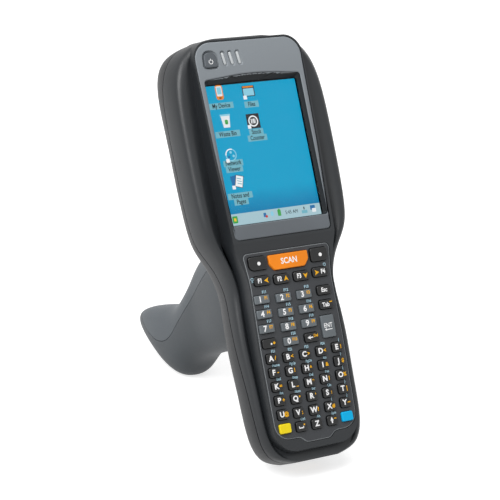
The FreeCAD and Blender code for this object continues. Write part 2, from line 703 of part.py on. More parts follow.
def keys():
    """Every key of the keypad, by node: each node holds the keys that share it."""
    found = {"soft_key_left": [soft_key(-1)], "scan_key": [scan_key()], "soft_key_right": [soft_key(1)]}
    for number, x in enumerate((-FUNCTION_OUTER_X, -FUNCTION_INNER_X, FUNCTION_INNER_X, FUNCTION_OUTER_X), 1):
        found["function_key_%d" % number] = [Key(x, FUNCTION_ROW_Y, FUNCTION_KEY)]
    for row in range(3):
        for column in range(3):
            name = "number_key_%d" % (row * 3 + column + 1)
            found[name] = [Key(NUMBER_COLUMNS[column], NUMBER_ROW_Y - row * NUMBER_PITCH, NUMBER_KEY)]
    last = NUMBER_ROW_Y - 3 * NUMBER_PITCH
    found["number_key_0"] = [Key(NUMBER_COLUMNS[1], last, NUMBER_KEY)]
    found["point_key"] = [Key(NUMBER_COLUMNS[0], last, EDIT_KEY)]
    found["backspace_key"] = [Key(NUMBER_COLUMNS[2], last, EDIT_KEY)]
    found["escape_key"] = [Key(NUMBER_COLUMNS[3], NUMBER_ROW_Y, EDIT_KEY)]
    found["tab_key"] = [Key(NUMBER_COLUMNS[3], NUMBER_ROW_Y - NUMBER_PITCH, EDIT_KEY)]
    enter_y = NUMBER_ROW_Y - 2.5 * NUMBER_PITCH
    found["enter_key"] = [Key(NUMBER_COLUMNS[3] - 1.1, enter_y, ENTER_KEY)]
    for row in range(5):
        found["letter_keys_row_%d" % (row + 1)] = letter_row(row)
    found["letter_keys_row_6"] = letter_row(5, (-1, 0, 1))
    found["yellow_key"] = letter_row(5, (-2,), COLOUR_KEY)
    found["blue_key"] = letter_row(5, (2,), COLOUR_KEY)
    return found


def key_node(group):
    """Keys that share a node, set on the keypad plane."""
    solids = [to_keypad(key.solid()) for key in group]
    return solids[0] if len(solids) == 1 else Part.makeCompound(solids)


def keypad_panel(all_keys):
    """Panel over the keypad, with a hole for each key."""
    panel = plate(panel_outline(0.0), -PANEL_THICK, 0.0)
    holes = [plate(key.outline(KEY_GAP), -PANEL_THICK - 1, 1.0) for key in all_keys]
    return to_keypad(panel.cut(Part.makeCompound(holes)))


def dome_top():
    """Height of the domes' tops under the panel's face."""
    plunger_foot = -PANEL_THICK - KEY_FLANGE_GAP - KEY_FLANGE - KEY_PLUNGER
    return plunger_foot - KEY_TRAVEL - DOME_GAP


def dome_sheet(all_keys):
    """Thin sheet with a metal snap dome under each key."""
    foot = dome_top() - DOME_RISE
    sheet = plate(pocket_outline(-BOARD_FIT), foot - DOME_SHEET, foot)
    ball_radius = (DOME_RADIUS**2 + DOME_RISE**2) / (2 * DOME_RISE)
    for key in all_keys:
        ball = Part.makeSphere(ball_radius, V(key.x, key.y, foot + DOME_RISE - ball_radius))
        cap = ball.common(box((key.x - 3, key.x + 3), (key.y - 3, key.y + 3), (foot - 0.1, foot + 2)))
        sheet = sheet.fuse(cap)
    return to_keypad(sheet)


def board_top():
    """Height of the keypad board's face under the panel's face."""
    return dome_top() - DOME_RISE - DOME_SHEET


def keypad_board():
    """Circuit board under the domes, on the ledge of its pocket."""
    return to_keypad(plate(pocket_outline(-BOARD_FIT), board_top() - BOARD_THICK, board_top()))


# Battery, latch and dock

def bay_prism(out, high):
    """Block of the battery bay, grown by out sideways, up to a height."""
    wire = rounded(mirrored([(BAY_HALF + out, BAY_TOP_Y + out, 2.0),
                             (BAY_HALF + out, BAY_TAIL_Y - out, 7.0 + out)]))
    return plate(wire, -50.0, high)


def latch_heights():
    """Heights of the latch's outer face, the wall's inner face and the plate's inner face."""
    skin = GRIP_REAR
    inner = skin + WALL + LATCH_FIT
    return skin - LATCH_PROUD, inner, inner + LATCH_PLATE_THICK


def battery_pack(skin):
    """Battery pack, whose back is part of the body's skin, with the latch's notch."""
    pack = skin.common(bay_prism(-BATTERY_FIT, BAY_FLOOR - BATTERY_FIT))
    outer, inner, top = latch_heights()
    half = LATCH_BOLT_HALF + 0.5
    low_y = BAY_TOP_Y - LATCH_BOLT_REACH - 0.6
    notch = box((-half, half), (low_y, BAY_TOP_Y + 1), (inner - 0.3, top + 0.3))
    return pack.cut(notch)


def battery_contacts():
    """Four contacts in the bay's wall that reach the pack."""
    blocks = []
    for x in (-15.0, -11.0, 11.0, 15.0):
        foot = BAY_TOP_Y - BATTERY_FIT
        blocks.append(box((x - 1.0, x + 1.0), (foot, BAY_TOP_Y + BAY_WALL + 1.2), (-20.5, -17.5)))
    return Part.makeCompound(blocks)


def battery_latch():
    """Sliding latch: a ribbed pad outside, a neck through the wall, and a plate with its bolt."""
    outer, inner, top = latch_heights()
    low_y, high_y = LATCH_PAD_Y
    wire = block(2 * LATCH_PAD_HALF, high_y - low_y, 1.5, 0, (low_y + high_y) / 2)
    pad = plate(wire, outer, GRIP_REAR - LATCH_FIT)
    for k in range(4):
        y = low_y + 1.4 + 1.2 * k
        pad = pad.cut(box((-5.0, 5.0), (y - 0.25, y + 0.25), (outer - 1, outer + 0.5)))
    neck = box((-3.0, 3.0), (low_y + 1.6, high_y - 1.6), (GRIP_REAR - LATCH_FIT - 0.1, inner + 0.1))
    slab = box((-6.5, 6.5), (low_y + 0.4, high_y - 0.4), (inner, top))
    tip_y = BAY_TOP_Y - LATCH_BOLT_REACH
    bolt = box((-LATCH_BOLT_HALF, LATCH_BOLT_HALF), (tip_y, low_y + 0.6), (inner, top))
    return pad.fuse(neck).fuse(slab).fuse(bolt).removeSplitter()


def spring_rib_y():
    """Where the latch spring's rib starts."""
    return LATCH_PAD_Y[1] + LATCH_TRAVEL + 6.0


def latch_spring():
    """Spring that pushes the latch towards the battery."""
    outer, inner, top = latch_heights()
    start = LATCH_PAD_Y[1] - 0.4 + 0.3
    length = spring_rib_y() - start - 0.3
    middle_z = (inner + top) / 2 + 0.9
    path = Part.makeHelix(length / SPRING_TURNS, length, 1.3)
    profile = Part.Wire(Part.makeCircle(SPRING_WIRE, V(1.3, 0, 0), V(0, 1, 0)))
    coil = Part.Wire(path).makePipeShell([profile], True, True)
    coil.rotate(V(0, 0, 0), V(1, 0, 0), -90)
    coil.translate(V(0, start, middle_z))
    return coil


def dock_connector():
    """Contact block in the tail, with a row of pads."""
    face = TAIL_END + 0.3 + DOCK_RECESS_DEPTH
    solid = box((-DOCK_HALF, DOCK_HALF), (face, face + DOCK_DEPTH), DOCK_Z)
    pitch = 2 * (DOCK_HALF - 1.5) / (DOCK_PADS - 1)
    middle = (DOCK_Z[0] + DOCK_Z[1]) / 2
    for k in range(DOCK_PADS):
        x = -DOCK_HALF + 1.5 + k * pitch
        solid = solid.fuse(box((x - 0.5, x + 0.5), (face - 0.3, face + 0.2), (middle - 1.2, middle + 1.2)))
    return solid.removeSplitter()


# Inside the head, behind the boards

def window_y():
    """Outer face of the scan window."""
    return HEAD_TOP * CAP_SHARE - 0.6


def scan_window():
    """Dark window in the head's end, in front of the scan engine."""
    face = window_y()
    wire = block(2 * WINDOW_HALF, WINDOW_Z[1] - WINDOW_Z[0], 3.0, 0, (WINDOW_Z[0] + WINDOW_Z[1]) / 2)
    solid = plate(wire, 0, WINDOW_THICK)
    solid.rotate(V(0, 0, 0), V(1, 0, 0), 90)
    solid.translate(V(0, face, 0))
    return solid


def scan_engine():
    """Scan engine with its lens barrel."""
    solid = box((-SCAN_ENGINE_HALF, SCAN_ENGINE_HALF), SCAN_ENGINE_Y, SCAN_ENGINE_Z)
    middle = (SCAN_ENGINE_Z[0] + SCAN_ENGINE_Z[1]) / 2
    front = SCAN_ENGINE_Y[1]
    barrel = rod(V(-4.5, front - 1, middle), V(-4.5, front + 1.8, middle), 4.2)
    lamp = rod(V(6.5, front - 1, middle), V(6.5, front + 1.2, middle), 2.6)
    return solid.fuse(barrel).fuse(lamp).removeSplitter()


def speaker_seat():
    """Height of the rear wall's inner face behind the speaker."""
    return HEAD_REAR + WALL


def speaker():
    """Round speaker, with its magnet towards the boards."""
    low = speaker_seat() + 1.9
    basket = rod(V(0, SPEAKER_Y, low), V(0, SPEAKER_Y, low + 2.2), SPEAKER_RADIUS)
    magnet = rod(V(0, SPEAKER_Y, low + 2.1), V(0, SPEAKER_Y, low + SPEAKER_THICK), 6.0)
    return basket.fuse(magnet).removeSplitter()


# Housings

def posts():
    """Places of the screw posts, on both sides."""
    right = list(HEAD_POSTS) + [WAIST_POST]
    return right + [(-x, y) for x, y in right]


def screw_tip(y):
    """Height of a housing screw's tip at y."""
    return smooth(SEAMS, y) + 5.0 if y > WAIST_Y + 20 else smooth(SEAMS, y) + 2.6


def front_housing(skin, hollow):
    """Charcoal front shell with its raised centre, and the pockets for screen and keypad."""
    shell = skin.common(front_side(0.0)).cut(hollow)
    bosses = [rod(V(x, y, smooth(SEAMS, y) + 0.05), V(x, y, 0), POST_RADIUS) for x, y in posts()]
    shell = shell.fuse([plateau().cut(hollow)] + Part.makeCompound(bosses).common(skin).Solids)
    cuts = [rod(V(x, y, -50), V(x, y, screw_tip(y) + 0.4), SCREW_RADIUS + 0.05) for x, y in posts()]
    cuts.append(box((-29.1, 29.1), (-42.6, 39.0), (-30.0, -LEDGE_THICK)))
    cuts.append(box((-28.1, 28.1), (-37.8, 37.8), (-LEDGE_THICK - 1, 20.0)))
    cuts.append(plate(bezel_outline(BEZEL_FIT), 0.0, 20.0))
    cuts.append(plate(power_outline(POWER_GAP + KEY_FLANGE_OUT), -8.0, 1.0))
    cuts += [lamp_bar(x, 0.15, -8.0, 1.0) for x in LAMP_X]
    cuts.append(box((-30.4, -1.6), (42.6, 54.4), (-20.0, INDICATOR_Z)))
    cuts.append(to_keypad(plate(panel_outline(PANEL_FIT), -PANEL_THICK, 20.0)))
    cuts.append(to_keypad(plate(pocket_outline(0.0), board_top() - BOARD_THICK, 1.0)))
    cuts.append(to_keypad(plate(pocket_outline(-BOARD_LEDGE), -30.0, -2.0)))
    return shell.cut(cuts)


def rear_housing(skin, hollow):
    """Black rear shell with the battery bay, the screw posts and the seats inside."""
    shell = skin.cut([hollow, hollow.translated(V(0, 0, WALL)), front_side(SEAM_GAP)])
    rib = box((-SCAN_ENGINE_HALF + 1, SCAN_ENGINE_HALF - 1), (SCAN_ENGINE_Y[0] + 2, HEAD_TOP - 3),
              (-60, SCAN_ENGINE_Z[0]))
    ring = rod(V(0, SPEAKER_Y, -60), V(0, SPEAKER_Y, speaker_seat() + 1.9), SPEAKER_RADIUS - 0.5)
    ring = ring.cut(rod(V(0, SPEAKER_Y, -60), V(0, SPEAKER_Y, 0), SPEAKER_RADIUS - 2.0))
    outer, inner, top = latch_heights()
    stop = box((-4.0, 4.0), (spring_rib_y(), spring_rib_y() + 1.6), (-60, top + 3.0))
    walls = bay_prism(BAY_WALL, BAY_FLOOR + BAY_WALL)
    added = [rib, ring, stop, walls]
    for x, y in posts():
        added.append(rod(V(x, y, -60), V(x, y, smooth(SEAMS, y) - SEAM_GAP - 0.05), POST_RADIUS))
    shell = shell.fuse(Part.makeCompound(added).common(skin).Solids)
    cuts = [bay_prism(0.0, BAY_FLOOR), latch_opening(), tail_recess(), window_opening()]
    cuts += speaker_slots() + contact_slots()
    for x, y in posts():
        cuts.append(rod(V(x, y, -60), V(x, y, 0), SCREW_RADIUS + SCREW_CLEARANCE))
        cuts.append(rod(V(x, y, -60), V(x, y, POST_HEAD_Z), SCREW_HEAD_RADIUS + SCREW_CLEARANCE))
    return shell.cut(cuts)


def latch_opening():
    """Slot for the latch's neck in the rear wall, and for its bolt in the bay's wall."""
    outer, inner, top = latch_heights()
    low_y, high_y = LATCH_PAD_Y
    neck = box((-3.3, 3.3), (low_y + 1.3, high_y - 1.3 + LATCH_TRAVEL), (-60, inner + 1))
    half = LATCH_BOLT_HALF + LATCH_FIT
    bolt = box((-half, half), (BAY_TOP_Y - 1, low_y + 1.0), (inner - LATCH_FIT, top + LATCH_FIT))
    return neck.fuse(bolt)


def contact_slots():
    """Slots for the battery contacts in the bay's wall."""
    slots = []
    for x in (-15.0, -11.0, 11.0, 15.0):
        slots.append(box((x - 1.1, x + 1.1), (BAY_TOP_Y - 0.1, BAY_TOP_Y + BAY_WALL + 0.1), (-20.6, -17.4)))
    return slots


def tail_recess():
    """Recess in the tail's end, and the dock connector's hole."""
    middle = (DOCK_Z[0] + DOCK_Z[1]) / 2
    wire = block(2 * DOCK_RECESS_HALF, DOCK_RECESS_TALL, 2.0, 0, middle)
    recess = plate(wire, 0, 6.0)
    recess.rotate(V(0, 0, 0), V(1, 0, 0), 90)
    face = TAIL_END + 0.3 + DOCK_RECESS_DEPTH
    recess.translate(V(0, face, 0))
    hole = box((-DOCK_HALF - 0.05, DOCK_HALF + 0.05), (face - 1, face + DOCK_DEPTH + 0.05),
               (DOCK_Z[0] - 0.05, DOCK_Z[1] + 0.05))
    return recess.fuse(hole)


def window_opening():
    """Hole for the scan window in the head's end, stepped to seat it."""
    middle = (WINDOW_Z[0] + WINDOW_Z[1]) / 2
    tall = WINDOW_Z[1] - WINDOW_Z[0]
    seat = plate(block(2 * WINDOW_HALF + 0.2, tall + 0.2, 3.1, 0, middle), -8.0, WINDOW_THICK)
    through = plate(block(2 * WINDOW_HALF - 2.4, tall - 2.4, 2.0, 0, middle), 0.0, 12.0)
    hole = seat.fuse(through)
    hole.rotate(V(0, 0, 0), V(1, 0, 0), 90)
    hole.translate(V(0, window_y(), 0))
    return hole


def speaker_slots():
    """Short slots in the rear wall behind the speaker."""
    slots = []
    for k in range(-2, 3):
        y = SPEAKER_Y + 2.6 * k
        slots.append(box((-5.5, 5.5), (y - 0.5, y + 0.5), (-60, speaker_seat() + 1)))
    return slots


def housing_screws():
    """Screws that hold the two housings together, from behind."""
    screws = []
    for x, y in posts():
        shank = rod(V(x, y, POST_HEAD_Z - 0.2), V(x, y, screw_tip(y)), SCREW_RADIUS)
        head = rod(V(x, y, POST_HEAD_Z - SCREW_HEAD), V(x, y, POST_HEAD_Z), SCREW_HEAD_RADIUS)
        socket = hexagon(1.1, V(x, y, POST_HEAD_Z - SCREW_HEAD), V(0, 0, 1.0))
        screws.append(head.fuse(shank).cut(socket))
    return Part.makeCompound(screws)


def hexagon(radius, at, along):
    """Hexagonal socket from a point along a direction."""
    spots = [V(radius * math.cos(math.radians(60 * k)), radius * math.sin(math.radians(60 * k)), 0) for k in range(7)]
    prism = Part.Face(Part.makePolygon(spots)).extrude(V(0, 0, along.Length))
    turn = FreeCAD.Rotation(V(0, 0, 1), along)
    prism.Placement = FreeCAD.Placement(at, turn)
    return prism


# Pistol grip

GRIP_STATIONS = (GRIP_TOP, GRIP_FLARE, GRIP_NECK, GRIP_GUARD, GRIP_NOTCH, GRIP_FINGER, GRIP_CREASE, GRIP_ANKLE,
                 GRIP_TOE, GRIP_TIP, GRIP_BASE, GRIP_SOLE)


def grip_ring(front, rear, half, wall):
    """Points round the grip's section between a front and a rear point, in by a wall."""
    a, b = V(0, *front), V(0, *rear)
    middle = (a + b) * 0.5
    forward = a - b
    reach = forward.Length / 2 - wall
    forward.normalize()
    spots = []
    for k in range(24):
        turn = math.radians(15 * k)
        c, s = math.cos(turn), math.sin(turn)
        u = math.copysign(abs(c) ** (2 / GRIP_POWER), c)
        v = math.copysign(abs(s) ** (2 / GRIP_POWER), s)
        spots.append(middle + forward * (reach * u) + V(v * (half - wall), 0, 0))
    return spots


def grip(wall):
    """Solid of the whole grip, in by a wall."""
    stations = GRIP_STATIONS
    if wall:
        (front_y, z), (rear_y, z), half = GRIP_TOP
        stations = (((front_y, z + 5), (rear_y, z + 5), half),) + GRIP_STATIONS[1:-2]
    return skinned([grip_ring(front, rear, half, wall) for front, rear, half in stations])


def finger_side(shift):
    """Everything in front of the grip's parting line, moved back by a shift."""
    spots = [V(-40, y - shift, z) for y, z in GRIP_PARTING]
    curve = Part.BSplineCurve()
    curve.interpolate(spots)
    lid = [spots[-1], V(-40, 20, spots[-1].z), V(-40, 20, -10), V(-40, spots[0].y, -10), spots[0]]
    edges = [curve.toShape()] + [Part.LineSegment(a, b).toShape() for a, b in zip(lid, lid[1:])]
    return Part.Face(Part.Wire(edges)).extrude(V(80, 0, 0))


def trigger_slot():
    """Opening in the grip's front for the trigger and its swing."""
    half = TRIGGER_HALF + TRIGGER_SLOT_FIT
    y, z = TRIGGER_PIVOT
    return box((-half, half), (y - 7.5, y + 25), (-69.5, z + 4.6))


def grip_front_shell(whole, hollow, skin_clear):
    """Finger-side shell of the grip, with the ears that hold the trigger's pin."""
    shell = whole.cut(hollow)
    y, z = TRIGGER_PIVOT
    for side in (-1, 1):
        near = TRIGGER_HALF + TRIGGER_SLOT_FIT
        limits = sorted((side * near, side * (near + EAR_THICK)))
        ear = box(limits, (y - 4.5, y + 12), (z - 4.5, z + 4.5))
        shell = shell.fuse(ear.common(whole))
    for seat_y, height in SHELL_SCREWS:
        tube = rod(V(0, -200, height), V(0, 0, height), POST_RADIUS + 0.2)
        shell = shell.fuse(tube.common(whole))
    shell = shell.common(finger_side(0.0))
    shell = shell.cut(trigger_slot()).cut(skin_clear)
    for seat_y, height in SHELL_SCREWS:
        shell = shell.cut(rod(V(0, seat_y, height), V(0, 20, height), SCREW_HEAD_RADIUS + SCREW_CLEARANCE))
        shell = shell.cut(rod(V(0, -200, height), V(0, 0, height), SCREW_RADIUS + SCREW_CLEARANCE))
    return shell.cut(rod(V(-PIN_HALF - 0.1, y, z), V(PIN_HALF + 0.1, y, z), PIN_RADIUS + 0.02))


def grip_rear_shell(whole, hollow, skin_clear):
    """Spine-side shell of the grip, with the screw tubes and the trigger switch's seat."""
    shell = whole.cut(hollow)
    for seat_y, height in SHELL_SCREWS:
        boss = rod(V(0, -200, height), V(0, 0, height), POST_RADIUS - 0.4)
        shell = shell.fuse(boss.common(whole))
    y, z = TRIGGER_PIVOT
    seat = box((-SWITCH_HALF - 1, SWITCH_HALF + 1), (-80, -58.2), (z - 5.0, z - 1.0))
    shell = shell.fuse(seat.common(whole)).fuse(box((-17, 17), (-62.2, -58.2), (z - 5.0, z - 1.0)).common(whole))
    shell = shell.cut(finger_side(PARTING_GAP)).cut(skin_clear)
    for seat_y, height in SHELL_SCREWS:
        tip = seat_y - SHELL_SCREW_LENGTH
        shell = shell.cut(rod(V(0, tip - 0.4, height), V(0, 0, height), SCREW_RADIUS + 0.05))
    return shell


def grip_screws():
    """Screws that hold the grip's two shells together, from the finger side."""
    screws = []
    for seat_y, height in SHELL_SCREWS:
        shank = rod(V(0, seat_y + 0.2, height), V(0, seat_y - SHELL_SCREW_LENGTH, height), SCREW_RADIUS)
        head = rod(V(0, seat_y, height), V(0, seat_y + SCREW_HEAD, height), SCREW_HEAD_RADIUS)
        socket = hexagon(1.1, V(0, seat_y + SCREW_HEAD, height), V(0, -1.0, 0))
        screws.append(head.fuse(shank).cut(socket))
    return Part.makeCompound(screws)


# Trigger

def trigger():
    """Trigger lever with a curved face, on two lugs about its pin."""
    y, z = TRIGGER_PIVOT
    face = [(y + 5.4, z + 3.0), (y + 9.6, z - 3.0), (y + 9.2, z - 10.0), (y + 6.6, z - 17.5), (y + 5.0, z - 23.5),
            (y + 5.6, z - 27.2)]
    back = [(y + 3.0, z - 27.0), (y - 1.0, z - 22.0), (y - 1.5, z - 8.0), (y - 1.5, z + 2.0)]
    spots = [V(-TRIGGER_HALF, *spot) for spot in face]
    curve = Part.BSplineCurve()
    curve.interpolate(spots)
    rest = [spots[-1]] + [V(-TRIGGER_HALF, *spot) for spot in back] + [spots[0]]
    edges = [curve.toShape()] + [Part.LineSegment(a, b).toShape() for a, b in zip(rest, rest[1:])]
    lever = Part.Face(Part.Wire(edges)).extrude(V(2 * TRIGGER_HALF, 0, 0))
    hub = rod(V(-TRIGGER_HALF, y, z), V(TRIGGER_HALF, y, z), HUB_RADIUS)
    lever = lever.fuse(hub)
    gap = box((-LUG_FROM, LUG_FROM), (y - 6, y + 4.2), (z - 4.6, z + 6))
    lever = lever.cut(gap)
    return lever.cut(rod(V(-20, y, z), V(20, y, z), PIN_RADIUS + PIN_FIT)).removeSplitter()


def trigger_pin():
    """Pin that the trigger turns on."""
    y, z = TRIGGER_PIVOT
    return rod(V(-PIN_HALF, y, z), V(PIN_HALF, y, z), PIN_RADIUS)


def trigger_spring():
    """Torsion spring round the pin, between the trigger's lugs, with one leg back to the shell."""
    y, z = TRIGGER_PIVOT
    radius = PIN_RADIUS + 0.75
    length = 2 * LUG_FROM - 1.6
    path = Part.makeHelix(length / SPRING_TURNS, length, radius)
    profile = Part.Wire(Part.makeCircle(SPRING_WIRE, V(radius, 0, 0), V(0, 1, 0)))
    coil = Part.Wire(path).makePipeShell([profile], True, True)
    coil.rotate(V(0, 0, 0), V(0, 1, 0), 90)
    coil.translate(V(-length / 2, y, z))
    return coil


def trigger_switch():
    """Small switch behind the trigger, on its seat in the grip."""
    y, z = TRIGGER_PIVOT
    body_back = box((-SWITCH_HALF, SWITCH_HALF), (-58.2, -50.5), (z - 20.5, z - 5.0))
    reach = y - 1.3 - 24.0 * math.radians(TRIGGER_SWING) - 0.5
    button = box((-1.5, 1.5), (-50.6, reach), (z - 19.0, z - 16.0))
    foot = box((-SWITCH_HALF, SWITCH_HALF), (-58.2, -54.2), (z - 5.1, z - 1.2))
    return body_back.fuse(button).fuse(foot).removeSplitter()


# Pose and output

def stand_up(shape, shift):
    """Turn a shape from its flat drawing to the table, and put the origin under its middle."""
    shape.rotate(V(0, 0, 0), V(1, 0, 0), 90 - LEAN)
    shape.translate(V(0, shift, FLOOR_DROP))
    return shape


def pieces():
    """Every node of the terminal in its flat drawing."""
    skin = body(0.0)
    hollow = body(WALL)
    clear = body(-POST_FIT)
    whole_grip, hollow_grip = grip(0.0), grip(GRIP_WALL)
    groups = keys()
    all_keys = [key for group in groups.values() for key in group]
    made = {
        "front_housing": front_housing(skin, hollow),
        "rear_housing": rear_housing(skin, hollow),
        "display_bezel": display_bezel(),
        "touch_panel": touch_panel(),
        "display_module": display_module(),
        "display_frame": display_frame(),
        "keypad_panel": keypad_panel(all_keys),
        "dome_sheet": dome_sheet(all_keys),
        "keypad_board": keypad_board(),
        "main_board": main_board(),
        "processor_shield": processor_shield(),
        "indicator_board": indicator_board(),
        "led_light_pipes": led_light_pipes(),
        "power_key": power_key(),
        "battery_pack": battery_pack(skin),
        "battery_contacts": battery_contacts(),
        "battery_latch": battery_latch(),
        "latch_spring": latch_spring(),
        "dock_connector": dock_connector(),
        "scan_engine": scan_engine(),
        "scan_window": scan_window(),
        "speaker": speaker(),
        "housing_screws": housing_screws(),
        "grip_front_shell": grip_front_shell(whole_grip, hollow_grip, clear),
        "grip_rear_shell": grip_rear_shell(whole_grip, hollow_grip, clear),
        "grip_screws": grip_screws(),
        "trigger": trigger(),
        "trigger_pin": trigger_pin(),
        "trigger_spring": trigger_spring(),
        "trigger_switch": trigger_switch(),
    }
    for name, group in groups.items():
        made[name] = key_node(group)
    return made


def main():
    """Build every node, stand the terminal up and write one file for each."""
    os.makedirs("parts", exist_ok=True)
    made = pieces()
    for shape in made.values():
        stand_up(shape, 0.0)
    boxes = [made[name].optimalBoundingBox(False, False) for name in ("front_housing", "display_bezel", "grip_rear_shell")]
    shift = -(min(b.YMin for b in boxes) + max(b.YMax for b in boxes)) / 2
    floor = box((-100, 100), (-200, 200), (-100, 0))
    for name in ("rear_housing", "grip_front_shell", "grip_rear_shell"):
        made[name] = made[name].cut(floor)
    for name, shape in made.items():
        shape.translate(V(0, shift, 0))
        shape.exportStep("parts/%s.step" % name)
    print("nodes", len(made), "shift", round(shift, 3))


main()
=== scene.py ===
import math

import bmesh
import bpy
from bpy.props import FloatProperty, FloatVectorProperty, PointerProperty
from mathutils import Matrix, Vector


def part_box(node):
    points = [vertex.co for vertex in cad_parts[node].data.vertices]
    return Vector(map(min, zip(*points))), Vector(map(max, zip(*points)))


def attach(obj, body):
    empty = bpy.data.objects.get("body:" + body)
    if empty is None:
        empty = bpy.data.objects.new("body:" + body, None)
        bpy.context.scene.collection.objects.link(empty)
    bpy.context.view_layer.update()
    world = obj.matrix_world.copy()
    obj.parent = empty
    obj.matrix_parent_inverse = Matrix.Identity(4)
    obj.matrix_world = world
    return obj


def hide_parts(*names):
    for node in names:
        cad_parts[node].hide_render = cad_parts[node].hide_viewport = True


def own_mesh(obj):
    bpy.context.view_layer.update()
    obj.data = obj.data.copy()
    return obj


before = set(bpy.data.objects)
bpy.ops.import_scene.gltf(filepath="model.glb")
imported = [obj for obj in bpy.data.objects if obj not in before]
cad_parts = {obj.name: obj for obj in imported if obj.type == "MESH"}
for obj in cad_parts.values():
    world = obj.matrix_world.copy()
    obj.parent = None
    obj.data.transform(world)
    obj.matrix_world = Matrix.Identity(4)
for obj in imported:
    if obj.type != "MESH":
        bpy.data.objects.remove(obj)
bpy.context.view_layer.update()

bl_info = {
    "name": "Barcode Terminal",
    "version": (1, 0, 0),
    "blender": (4, 5, 0),
    "location": "View3D > Sidebar > Terminal",
    "description": "Dresses a handheld barcode terminal: shells, screen, keypad, grip and stage",
    "category": "Add Mesh",
}

# The terminal is drawn flat in millimetres, with x across its screen, y towards its head and z out of
# the screen, and then stood on its tail and heel.
LEAN = math.radians(31.8)
MM = 0.001
GLASS_DEPTH = 0.6
STAND_TURN = Matrix.Rotation(math.pi / 2 - LEAN, 4, "X")
GLASS_CENTRE = sum(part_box("touch_panel"), Vector()) / 2
STAND_SHIFT = GLASS_CENTRE - STAND_TURN @ Vector((0, 0, -GLASS_DEPTH * MM))
STAND = Matrix.Translation(STAND_SHIFT) @ STAND_TURN @ Matrix.Scale(MM, 4)
KEYPAD_RISE = 1.16
KEYPAD_SLOPE = math.radians(2.634)
KEYPAD_PIVOT = Vector((0, -60.0, 0))
KEYPAD = (STAND @ Matrix.Translation(Vector((0, 0, KEYPAD_RISE))) @ Matrix.Translation(KEYPAD_PIVOT)
          @ Matrix.Rotation(KEYPAD_SLOPE, 4, "X") @ Matrix.Translation(-KEYPAD_PIVOT))
KEY_TOP = 1.1
ROOT = "terminal"
SCREEN_FLOOR = -1.2
LAYER = 0.02
PRINT_SINK, PRINT_RISE = 0.01, 0.025
CAPITAL = 0.7
DRAWN_SHARP = math.radians(40)
PART_SHARP = math.radians(38)
WELD = 1e-6
WIDE = 40

NUMBER_COLUMNS = (-19.3, -6.6, 5.65, 17.65)
NUMBER_ROW_Y = -75.1
NUMBER_PITCH = 7.36
LETTER_ROW_Y = -104.9
LETTER_PITCH_Y = 7.05
LETTER_PITCH_TOP = 9.8
LETTER_PITCH_TAIL = 9.3


def linear(code):
    """Linear colour of a #rrggbb code."""
    parts = [int(code[k:k + 2], 16) / 255 for k in (1, 3, 5)]
    return tuple(p / 12.92 if p <= 0.04045 else ((p + 0.055) / 1.055) ** 2.4 for p in parts)


def tint(name, about, code):
    """Colour property with a #rrggbb default."""
    return FloatVectorProperty(name=name, description=about, default=linear(code), subtype="COLOR", size=3,
                               min=0, max=1)


def distance(name, about, default, least=0.0001):
    """Property that is a length, in metres."""
    return FloatProperty(name=name, description=about, default=default, min=least, unit="LENGTH", precision=5)


def amount(name, about, default, least=0.0):
    """Property that is a plain number."""
    return FloatProperty(name=name, description=about, default=default, min=least)


class TERMINAL_PG_shell(bpy.types.PropertyGroup):
    front: tint("Front shell", "Colour of the moulded front shell", "#212427")
    rear: tint("Rear shell", "Colour of the moulded rear shell and battery", "#17191c")
    bezel: tint("Bezel", "Colour of the bezel round the screen, at its foot", "#5d6267")
    # Painted highlight: the bezel is drawn lighter towards its head, where the light from above falls.
    bezel_head: tint("Bezel head", "Colour of the bezel at its head", "#868c91")
    panel: tint("Keypad panel", "Colour of the panel between the keys", "#3b3d40")
    # Painted highlight: the panel's rounded edge is drawn lighter, standing in for the light it catches.
    rim: tint("Keypad rim", "Colour of the panel's rounded edge", "#85898c")
    grip_front: tint("Grip, finger side", "Colour of the grip's front shell", "#4f555a")
    grip_rear: tint("Grip, spine side", "Colour of the grip's rear shell", "#42474b")
    grain: distance("Grain size", "Size of the moulded grain", 0.00035)
    edge: distance("Bezel edge", "Rounding of the bezel's edges", 0.0007)


class TERMINAL_PG_keys(bpy.types.PropertyGroup):
    black: tint("Black keys", "Colour of the letter and function keys", "#0b0c0d")
    grey: tint("Grey keys", "Colour of the number and enter keys", "#60666a")
    orange: tint("Scan key", "Colour of the scan key", "#f58a1e")
    yellow: tint("Yellow key", "Colour of the yellow key", "#ffe21f")
    blue: tint("Blue key", "Colour of the blue key", "#00b0e6")
    ink: tint("White print", "Colour of the main legends", "#ffffff")
    amber: tint("Amber print", "Colour of the second legends", "#f5b51e")
    sky: tint("Light blue print", "Colour of the small legends on the panel", "#b4d8e6")
    edge: distance("Key edge", "Rounding of the keys' tops", 0.00045)
    letter: distance("Letter height", "Height of the letters", 0.0026, 0.001)


class TERMINAL_PG_screen(bpy.types.PropertyGroup):
    sky: tint("Desktop", "Colour of the desktop", "#009fca")
    deep: tint("Desktop foot", "Colour of the desktop's darker foot", "#0074a8")
    bar: tint("Task bar", "Colour of the task bar", "#a9c9d2")
    label: tint("Label plates", "Colour of the plates behind the icons' names", "#5fa9bd")
    glow: amount("Backlight", "Brightness of the display", 0.95)


class TERMINAL_PG_stage(bpy.types.PropertyGroup):
    lens: amount("Lens", "Focal length of the camera in millimetres", 140.64, 10.0)
    left: amount("Left light", "Power of the large light on the left, in watts", 19.0)
    top: amount("Top light", "Power of the light overhead, in watts", 8.0)
    right: amount("Right light", "Power of the light behind on the right, in watts", 3.0)
    room: amount("Room light", "Strength of the even light from all round", 0.26)


# Meshes

